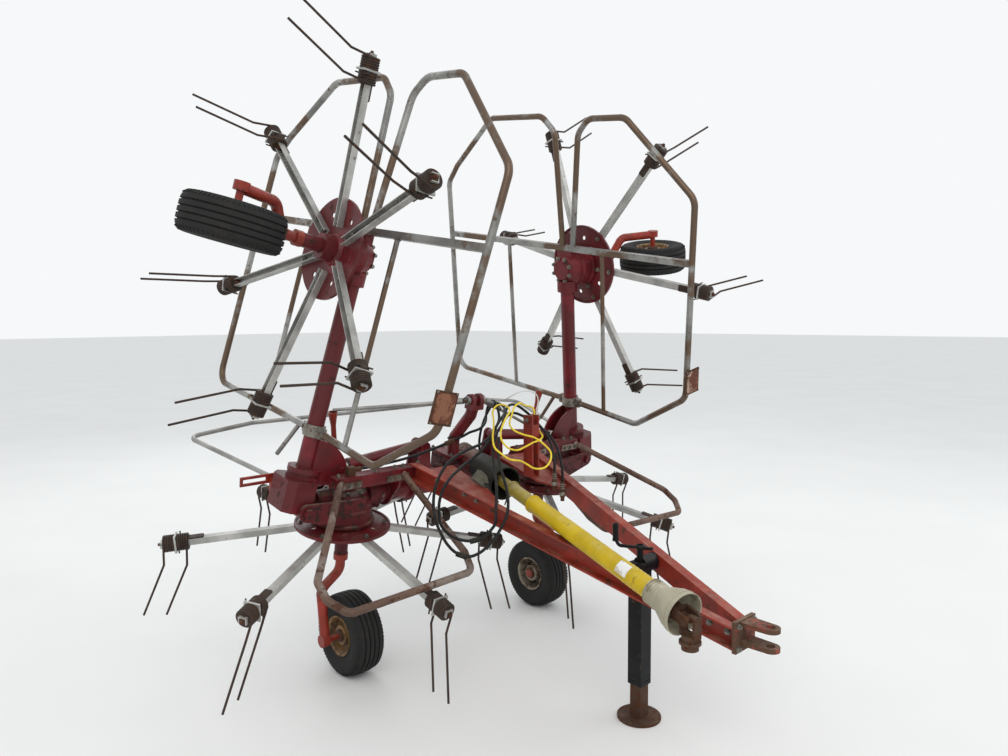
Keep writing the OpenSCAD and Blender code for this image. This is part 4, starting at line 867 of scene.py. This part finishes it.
class TEDDER_OT_frame_bolts(TedderOperator, bpy.types.Operator):
    """Put bolts on the beam, gear cases, rails, hitch, posts, wings and wheels"""

    bl_idname = "tedder.frame_bolts"
    bl_label = "Frame Bolts"

    def execute(self, context):
        head = context.scene.tedder_sizes.bolt_head
        self.fixed_frame(head)
        for side, hand in SIDES:
            self.wing(side, hand, head)
            for wheel in ("inner_" + hand, "outer_" + hand):
                self.wheel(wheel)
        return {"FINISHED"}

    def fixed_frame(self, head):
        """Bolts of the beam, the gear cases, the rails, the hitch, the upright and the gooseneck."""
        beam, cases, bar = [], [], []
        ahead, up = line_way(0, -1, 0), line_way(0, 0, 1)
        for side, _ in SIDES:
            beam += [(line_point(side * (plate + x), -0.138, 0.226), ahead)
                     for plate in (0.640, 0.390) for x in (0.018, 0.060, 0.102)]
            beam += [(line_point(side * x, -0.1015, 0.262), up)
                     for x in (0.320, 0.405, 0.450, 0.560, 0.680, 0.740)]
            cases += [(line_point(side * (ROTOR_X + 0.084 * math.cos(t)), 0.084 * math.sin(t), 0.1605),
                       line_way(0.35 * math.cos(t) * side, 0.35 * math.sin(t), 1)) for t in turns(8, 22)]
            cases += [(line_point(side * (ROTOR_X - 0.152), 0.071 * math.cos(t),
                                  TUBE_LIFT + 0.071 * math.sin(t)), line_way(-side, 0, 0))
                      for t in turns(6)]
            bar += [rail_bolt(side, y, 0.030) for y in (1.235, 1.300, 1.450)]
            bar += [rail_bolt(side, y, 0.039) for y in (0.150, 0.215)]
            bar += [(Vector((side * 0.052, 0.094, z)), -Y) for z in (-0.052, 0.030)]
        cases += [(line_point(x, y, 0.240), up) for x in (-0.080, 0.080) for y in (-0.060, 0.065)]
        cases += [(line_point(x, y, 0.280), up) for x in (-0.134, -0.074) for y in (-0.115, 0.028)]
        for s, x in ((-1, 0.134), (1, 0.208)):
            bar.append((Vector((x, 1.336, 0.622)), X * s))
            cases.append((line_point(-0.100 + s * 0.054, -0.209, 0.580), line_way(s, 0, 0)))
        fasteners("beam_bolts", beam, "frame", "bolt_steel", head=head)
        fasteners("case_bolts", cases, "frame", "bolt_steel", head=head * 0.9)
        fasteners("drawbar_bolts", bar, "frame", "bolt_steel", head=head)

    def wing(self, side, hand, head):
        """Bolts of the clamp band, the outer gear case and the guards' square bar."""
        spots = [(wing_point(side, 0.335, y, w * 0.014), wing_way(side, 0, 0, w))
                 for y in (-0.062, 0.062) for w in (-1, 1)]
        spots += [(wing_point(side, OUTER_REACH + 0.060 * math.cos(t), 0.060 * math.sin(t), 0.0385),
                   wing_way(side, 0.3 * math.cos(t), 0.3 * math.sin(t), 1)) for t in turns(8, 22)]
        spots += [(wing_point(side, 1.225, y, 0.0), wing_way(side, 1, 0, 0)) for y in (-0.040, 0.040)]
        fasteners("wing_bolts_" + hand, spots, "wing_" + hand, "bolt_steel", head=head)

    def wheel(self, wheel):
        """Four bolts through the rim's disc, with their nuts on its other face."""
        hub, way = wheel_centre(wheel), wheel_way(wheel)
        a, b = basis(way)
        spots = [(hub + way * s * face + around(a, b, t) * 0.060, way * s)
                 for s, face in ((-1, 0.004), (1, 0.010)) for t in turns(4, 20)]
        fasteners("wheel_bolts_" + wheel, spots, "wheel_" + wheel, "rusty_steel", head=0.0085)


class TEDDER_OT_tyres(TedderOperator, bpy.types.Operator):
    """Make the ribbed tyres, with bars on their shoulders and hub caps"""

    bl_idname = "tedder.tyres"
    bl_label = "Tyres"

    def execute(self, context):
        # Radius and distance from the middle, from the bead over the shoulder and the ribs
        half = [(0.0925, 0.0575), (0.0965, 0.0620), (0.1020, 0.0638), (0.1100, 0.0650), (0.1150, 0.0668),
                (0.1260, 0.0712), (0.1380, 0.0738), (0.1480, 0.0746), (0.1580, 0.0738), (0.1660, 0.0712),
                (0.1700, 0.0690), (0.1755, 0.0640), (0.1800, 0.0575), (0.1838, 0.0500), (0.1858, 0.0430),
                (0.1866, 0.0385), (0.1800, 0.0378), (0.1800, 0.0322), (0.1871, 0.0315), (0.1876, 0.0150),
                (0.1806, 0.0143), (0.1806, 0.0087), (0.1878, 0.0080)]
        profile = half + [(r, -h) for r, h in reversed(half)]
        tree = shoulder_tree()
        for wheel in ROTORS:
            place = wheel_centre(wheel), wheel_way(wheel), *basis(wheel_way(wheel))
            shape = Shape()
            shape.lathe(*place[:2], profile, sides=96, closed=True)
            tyre = shape.piece("tyre_%s_dressed" % wheel, "wheel_" + wheel, "tyre_rubber", "tyre_rubber",
                               edge=40)
            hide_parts("tyre_" + wheel)
            self.bars(wheel, tree, context.scene.tedder_sizes.tread_bars, *place)
            self.caps(wheel, *place)
        return {"FINISHED"}

    def bars(self, wheel, tree, count, centre, way, a, b):
        """Bars across both shoulders, those of one side between those of the other."""
        points, aims, aheads = [], [], []
        for s in (-1, 1):
            for k in range(count):
                out = around(a, b, 2 * math.pi * (k + 0.25 * s) / count)
                points.append(centre + out * 0.1745 + way * s * 0.0645)
                aims.append((out * 0.62 + way * s * 0.78).normalized())
                aheads.append((out * 0.78 - way * s * 0.62).normalized())
        obj = grow("tyre_bars_" + wheel, tree, points, {"aim": aims, "ahead": aheads},
                   {"Bar Width": 0.0042, "Bar Length": 0.020, "Bar Depth": 0.0045}, "tyre_rubber")
        finish_piece(obj, "wheel_" + wheel, "tyre_rubber")

    def caps(self, wheel, centre, way, a, b):
        """A cap on each end of the hub, and the valve's stem."""
        shape = Shape()
        for s in (-1, 1):
            shape.lathe(centre, way * s, [(0.0275, 0.0520), (0.0290, 0.0530), (0.0285, 0.0600),
                                          (0.0240, 0.0640), (0.0120, 0.0655)], sides=28)
        out = a * 0.80 + b * 0.60
        shape.lathe(centre + out * 0.070 + way * 0.022, way - out * 0.5,
                    [(0.0045, 0.0), (0.0045, 0.014), (0.0032, 0.015), (0.0032, 0.026)], sides=12)
        shape.piece("hub_caps_" + wheel, "wheel_" + wheel, "rusty_steel", "rusty_steel")


class TEDDER_OT_shaft_trim(TedderOperator, bpy.types.Operator):
    """Dress the drive shaft: bearing ring, tube rings, cone ribs and the bare white patch"""

    bl_idname = "tedder.shaft_trim"
    bl_label = "Shaft Trim"
    ROWS, COLUMNS = 14, 8

    def execute(self, context):
        shape = Shape()
        shape.lathe(shaft_point(0.418), SHAFT_AXIS, [
            (0.0255, 0.0), (0.0345, 0.0), (0.0365, 0.004), (0.0365, 0.009), (0.0335, 0.012),
            (0.0303, 0.016), (0.0255, 0.016)], sides=40, closed=True)
        shape.piece("rear_bearing_ring", "shaft_rear", "olive_guard", "guard_yellow")
        shape = Shape()
        for z in (0.594, SHAFT_LENGTH - 0.202):
            shape.lathe(shaft_point(z), SHAFT_AXIS, [
                (0.0371, 0.0), (0.0400, 0.001), (0.0404, 0.006), (0.0400, 0.011), (0.0371, 0.012)],
                sides=40, closed=True)
        for z in (0.216, 0.236, 0.256, 0.276, 0.296, 0.316):
            shape.rib(shaft_point(SHAFT_LENGTH - z), SHAFT_AXIS, 0.0370, 0.0382, 0.004, 0.002, 40)
        shape.piece("tube_rings", "shaft_front", "yellow_guard", "guard_yellow")
        shape = Shape()
        shape.lathe(shaft_point(SHAFT_LENGTH), SHAFT_AXIS, [
            (0.0735, -0.0500), (0.0768, -0.0494), (0.0776, -0.0455), (0.0745, -0.0440)],
            sides=48, closed=True)
        for z in (0.185, 0.172, 0.159, 0.146):
            shape.rib(shaft_point(SHAFT_LENGTH - z), SHAFT_AXIS, 0.0448, 0.0478, 0.0022, 0.0016, 40)
        shape.piece("cone_ribs", "shaft_front", "cone_grey", "guard_grey")
        shape = Shape()
        shape.sheet(self.ROWS, self.COLUMNS, (0.0373, 0.0384), self.patch_point)
        shape.piece("bare_patch", "shaft_front", "white_patch", "guard_grey")
        return {"FINISHED"}

    def patch_point(self, i, j, radius):
        """A point of the patch, which lies round the front tube and has ragged edges."""
        turn = math.radians(-10 - 78 * i / self.ROWS)
        ragged = 0.0025 * math.sin(i * 2.3 + j * 3.1) if j in (0, self.COLUMNS) or i in (0, self.ROWS) else 0
        return shaft_point(1.205 + 0.058 * j / self.COLUMNS + ragged, math.sin(-turn) * radius,
                           math.cos(turn) * radius)


class TEDDER_OT_hose_trim(TedderOperator, bpy.types.Operator):
    """Add the hoses' strap, tape, clips and plug rings, and the sleeves on the tie rods"""

    bl_idname = "tedder.hose_trim"
    bl_label = "Hose Trim"

    def execute(self, context):
        self.strap()
        self.sleeves()
        # Name, hose, place as a share of its length, finish, half length and radius
        for name, node, share, finish, half, r in (
                ("hose_tape", "hose_outer", 0.745, "white_patch", 0.016, 0.0074),
                ("hose_clip", "hose_outer", 0.502, "bell_black", 0.024, 0.0105),
                ("hose_clip_inner", "hose_inner", 0.520, "bell_black", 0.024, 0.0105)):
            path = spline_points(ROUTES[node], 0.009)
            i = int(share * (len(path) - 1))
            shape = Shape()
            shape.lathe(path[i], path[i + 1] - path[i - 1], [
                (0.0066, -half), (r, -half), (r + 0.0006, -half * 0.6), (r + 0.0006, half * 0.6),
                (r, half), (0.0066, half)], sides=20, closed=True)
            shape.piece(name, "frame", finish, "hose_rubber")
        shape = Shape()
        for node in ("hose_outer", "hose_inner"):
            end = Vector(ROUTES[node][-1]) / 1000
            for z in (0.012, 0.022, 0.032):
                shape.rib(end - Z * z, Z, 0.0100, 0.0118, 0.0025, 0.0020, 24)
            shape.rib(end - Z * 0.058, Z, 0.0135, 0.0148, 0.008, 0.006, 24)
        shape.piece("plug_rings", "frame", "bolt_steel", "zinc")
        return {"FINISHED"}

    def strap(self):
        """A strap round the hose and the post, slung lower in front."""
        centre, radius, steps = Vector((-0.100, 1.6020, 0.540)), 0.0315, 40
        loop = []
        for k in range(steps + 1):
            t = 2 * math.pi * k / steps
            x, y = radius * math.cos(t), radius * math.sin(t)
            if y < 0:
                y *= 1.0 + 0.75 * math.sin(t) ** 2
            loop.append(centre + Vector((x, y, -0.30 * y)))
        shape = Shape()
        shape.sweep(loop, 0.0035, 8)
        shape.piece("hose_strap", "frame", "hose_rubber", "hose_rubber")

    def sleeves(self):
        """A ribbed sleeve on each tie rod, near the gooseneck."""
        shape, ribs = Shape(), 9
        for head, foot, low, high in TIE_RODS:
            a, b = line_point(*head), line_point(*foot)
            run = (b - a).length * (high - low)
            profile = [(0.0085, 0.0)]
            for k in range(ribs):
                profile += [(r, run * (k + share) / ribs)
                            for r, share in ((0.0125, 0.15), (0.0138, 0.5), (0.0125, 0.85))]
            profile.append((0.0085, run))
            shape.lathe(a.lerp(b, low), b - a, profile, sides=20, closed=True)
        shape.piece("rod_sleeves", "frame", "hose_rubber", "hose_rubber")


class TEDDER_OT_fittings(TedderOperator, bpy.types.Operator):
    """Add the torn flap, marker faces, clamp bands, collar rings, jack grip and weld beads"""

    bl_idname = "tedder.fittings"
    bl_label = "Small Fittings"
    ROWS, COLUMNS = 12, 14

    def execute(self, context):
        flap = Shape()
        flap.sheet(self.ROWS, self.COLUMNS, (0.0, 0.003), self.flap_point)
        flap.piece("torn_flap", "frame", "grey_flap", "guard_black")
        for side, hand in SIDES:
            self.marker(side, hand)
        for side, hand in SIDES:
            self.wing_trim(side, hand)
        self.jack_trim()
        self.frame_welds()
        for side, hand in SIDES:
            self.wing_welds(side, hand)
        return {"FINISHED"}

    def flap_point(self, i, j, layer):
        """A point of the torn rubber flap, which hangs between the right sheet and the bell."""
        a, b = i / self.ROWS, j / self.COLUMNS
        ragged = 0.010 * math.sin(a * 9 + 1) + 0.006 * math.sin(a * 23)
        x = -0.190 + 0.050 * a + 0.012 * b
        y = 1.385 - 0.075 * b - ragged * b * b
        return Vector((x, y, rail_top(y) - 0.012 + 0.030 * a * a + 0.006 * math.sin(b * 5) + layer))

    def marker(self, side, hand):
        """Painted faces on both sides of a marker plate, and a small bolt near each corner."""
        u, level = 0.632, -0.018
        x, y, z = wing_way(side, 1, 0, 0), wing_way(side, 0, 0, 1), wing_way(side, 0, 1, 0)
        for end, depth in (("front", -0.8050), ("back", -0.7990)):
            shape = Shape()
            shape.box(wing_point(side, u, depth, level), x, y, z, (0.054, 0.044, 0.0016), 0.010)
            shape.piece("marker_face_%s_%s" % (hand, end), "wing_" + hand, "plate_face", "rusty_steel")
        bolts = [(wing_point(side, u + a * 0.056, -0.8045, level + b * 0.046), -z)
                 for a in (-1, 1) for b in (-1, 1)]
        fasteners("marker_bolts_" + hand, bolts, "wing_" + hand, "bolt_steel", head=0.0040,
                  height=0.003, thread=0.001, washer=0.001)

    def wing_trim(self, side, hand):
        """The clamp band round a wing's tube and the rings on its collar."""
        out = wing_way(side, 1, 0, 0)
        shape = Shape()
        shape.lathe(wing_point(side, 0.335, 0, 0), out, [
            (0.0370, -0.0255), (0.0452, -0.0255), (0.0465, -0.022), (0.0465, 0.022), (0.0452, 0.0255),
            (0.0370, 0.0255)], sides=48, closed=True)
        shape.piece("wing_band_" + hand, "wing_" + hand, "bolt_steel", "zinc")
        shape = Shape()
        for u in (0.139, 0.146, 0.153):
            shape.rib(wing_point(side, u, 0, 0), out, 0.0655, 0.0690, 0.0014, 0.0012, 48)
        shape.piece("collar_rings_" + hand, "wing_" + hand, "maroon_paint", "maroon_paint")

    def jack_trim(self):
        """The crank's grip, a ring under the boss, and bands and bolts on the jack's tube."""
        shape = Shape()
        shape.lathe(Vector((JACK_X, JACK_Y + 0.126, 0.256)), -Z, [
            (0.0072, -0.004), (0.0125, -0.006), (0.0140, 0.004), (0.0120, 0.020), (0.0120, 0.052),
            (0.0138, 0.066), (0.0072, 0.068)], sides=24, closed=True)
        shape.lathe(Vector((JACK_X, JACK_Y, 0.190)), Z, [
            (0.0130, -0.004), (0.0200, -0.003), (0.0210, 0.003), (0.0170, 0.010), (0.0130, 0.011)],
            sides=28, closed=True)
        shape.piece("jack_grip", "frame", "black_paint", "black_paint")
        shape = Shape()
        for height, half in ((0.155, 0.0348), (0.175, 0.0342)):
            shape.box(Vector((JACK_X, JACK_Y, GROUND + height)), X, Y, Z, (half, half, 0.006), 0.006)
        shape.piece("jack_band", "frame", "black_paint", "black_paint")
        spots = [(Vector((JACK_X - 0.033, JACK_Y, -0.020)), -X),
                 (Vector((JACK_X, JACK_Y - 0.033, 0.020)), -Y)]
        fasteners("jack_bolts", spots, "frame", "rusty_steel")

    def bead(self, shape, centre, way, radius, thick=0.0038, steps=60):
        """A weld bead round an axis, uneven along its run."""
        a, b = basis(way)
        ring = [centre + around(a, b, 2 * math.pi * k / steps) * radius for k in range(steps + 1)]
        shape.sweep(ring, thick, 7, lambda turn, run: 0.85 + 0.22 * math.sin(run * 900))

    def frame_welds(self):
        """Beads where the beam's plates meet the cross tube."""
        shape = Shape()
        for side, _ in SIDES:
            for x in (0.300, 0.310, 0.430, 0.440):
                self.bead(shape, line_point(side * x, 0, TUBE_LIFT), line_way(1, 0, 0), 0.0615)
        shape.piece("beam_welds", "frame", "maroon_paint", "maroon_paint")

    def wing_welds(self, side, hand):
        """Beads at both ends of a wing's tube and where its braces meet the square bar."""
        out = wing_way(side, 1, 0, 0)
        shape = Shape()
        for u in (0.172, OUTER_REACH - 0.122):
            self.bead(shape, wing_point(side, u, 0, 0), out, 0.0390)
        shape.piece("wing_welds_" + hand, "wing_" + hand, "maroon_paint", "maroon_paint")
        shape = Shape()
        for y in (-0.250, 0.450):
            self.bead(shape, wing_point(side, 1.193, y, 0), out, 0.0120, 0.0030)
        shape.piece("brace_welds_" + hand, "wing_" + hand, "mixed_tube", "zinc")


class TEDDER_OT_stage(TedderOperator, bpy.types.Operator):
    """Lay a pale floor and hang soft lights"""

    bl_idname = "tedder.stage"
    bl_label = "Floor and Light"

    def execute(self, context):
        stage = context.scene.tedder_stage
        self.floor(tuple(stage.floor))
        self.sky(context, stage.sky)
        # Name, place, size, power and colour
        for name, spot, size, power, colour in (
                ("key", (-4.5, -3.5, 6.0), 5.0, stage.key, (1.0, 0.97, 0.93)),
                ("fill", (4.5, -2.0, 4.5), 4.0, stage.key * 0.35, (0.94, 0.97, 1.0)),
                ("back", (1.5, 7.0, 5.0), 4.0, stage.key * 0.45, (0.96, 0.98, 1.0))):
            data = bpy.data.lights.new(name, "AREA")
            data.size = size
            data.energy = power
            data.color = colour
            lamp = bpy.data.objects.new(name, data)
            context.scene.collection.objects.link(lamp)
            aim = Vector((0, 1.3, 0.6)) - Vector(spot)
            lamp.matrix_world = Matrix.Translation(spot) @ aim.to_track_quat("-Z", "Y").to_matrix().to_4x4()
        context.scene.view_settings.view_transform = "Standard"
        return {"FINISHED"}

    def floor(self, colour):
        """A wide floor under the wheels and the jack, a little uneven in tone."""
        verts = [(-40, -30, GROUND), (60, -30, GROUND), (60, 80, GROUND), (-40, 80, GROUND)]
        floor = add_mesh("floor", verts, [[0, 1, 2, 3]])
        nodes = SkinNodes("floor_pale")
        tone = nodes.blend(nodes.noise(1.3, 2.0, 0.5, 0.0), [c * 0.96 for c in colour],
                           [min(1, c * 1.04) for c in colour])
        nodes.surface({"Base Color": tone, "Roughness": 0.85})
        floor.data.materials.append(nodes.mat)

    def sky(self, context, strength):
        """Even light on the object, and a plain pale background for the camera and for gloss."""
        world = bpy.data.worlds.new("Sky")
        world.use_nodes = True
        nodes = Nodes(world.node_tree)
        rays = nodes.new("ShaderNodeLightPath").outputs
        seen = nodes.math("MAXIMUM", rays["Is Camera Ray"], rays["Is Glossy Ray"])
        lit, plain = (nodes.add("ShaderNodeBackground", {"Color": colour, "Strength": power}).outputs[0]
                      for colour, power in (((0.93, 0.97, 1.0), strength), ((0.93, 0.94, 0.95), 1.0)))
        mix = nodes.add("ShaderNodeMixShader", {0: seen, 1: lit, 2: plain})
        nodes.add("ShaderNodeOutputWorld", {0: mix.outputs[0]})
        context.scene.world = world


class TEDDER_PT_panel(bpy.types.Panel):
    """Lists the settings and the steps in the sidebar"""

    bl_label = "Hay Tedder"
    bl_idname = "TEDDER_PT_panel"
    bl_space_type = "VIEW_3D"
    bl_region_type = "UI"
    bl_category = "Tedder"

    def draw(self, context):
        layout = self.layout
        for group in (context.scene.tedder_paint, context.scene.tedder_sizes, context.scene.tedder_stage):
            box = layout.box()
            for name in group.__annotations__:
                box.prop(group, name)
        for cls in OPERATORS:
            layout.operator(cls.bl_idname)


OPERATORS = (TEDDER_OT_camera, TEDDER_OT_finishes, TEDDER_OT_cords, TEDDER_OT_solids, TEDDER_OT_rotor_bolts,
             TEDDER_OT_frame_bolts, TEDDER_OT_tyres, TEDDER_OT_shaft_trim, TEDDER_OT_hose_trim,
             TEDDER_OT_fittings, TEDDER_OT_stage)
GROUPS = (TedderPaint, TedderSizes, TedderStage)


def register():
    for cls in GROUPS + OPERATORS + (TEDDER_PT_panel,):
        bpy.utils.register_class(cls)
    bpy.types.Scene.tedder_paint = bpy.props.PointerProperty(type=TedderPaint)
    bpy.types.Scene.tedder_sizes = bpy.props.PointerProperty(type=TedderSizes)
    bpy.types.Scene.tedder_stage = bpy.props.PointerProperty(type=TedderStage)


def unregister():
    del bpy.types.Scene.tedder_paint, bpy.types.Scene.tedder_sizes, bpy.types.Scene.tedder_stage
    for cls in reversed(GROUPS + OPERATORS + (TEDDER_PT_panel,)):
        bpy.utils.unregister_class(cls)


def main():
    """Runs every step in order."""
    register()
    for cls in OPERATORS:
        group, name = cls.bl_idname.split(".")
        getattr(getattr(bpy.ops, group), name)()


if __name__ == "__main__":
    main()
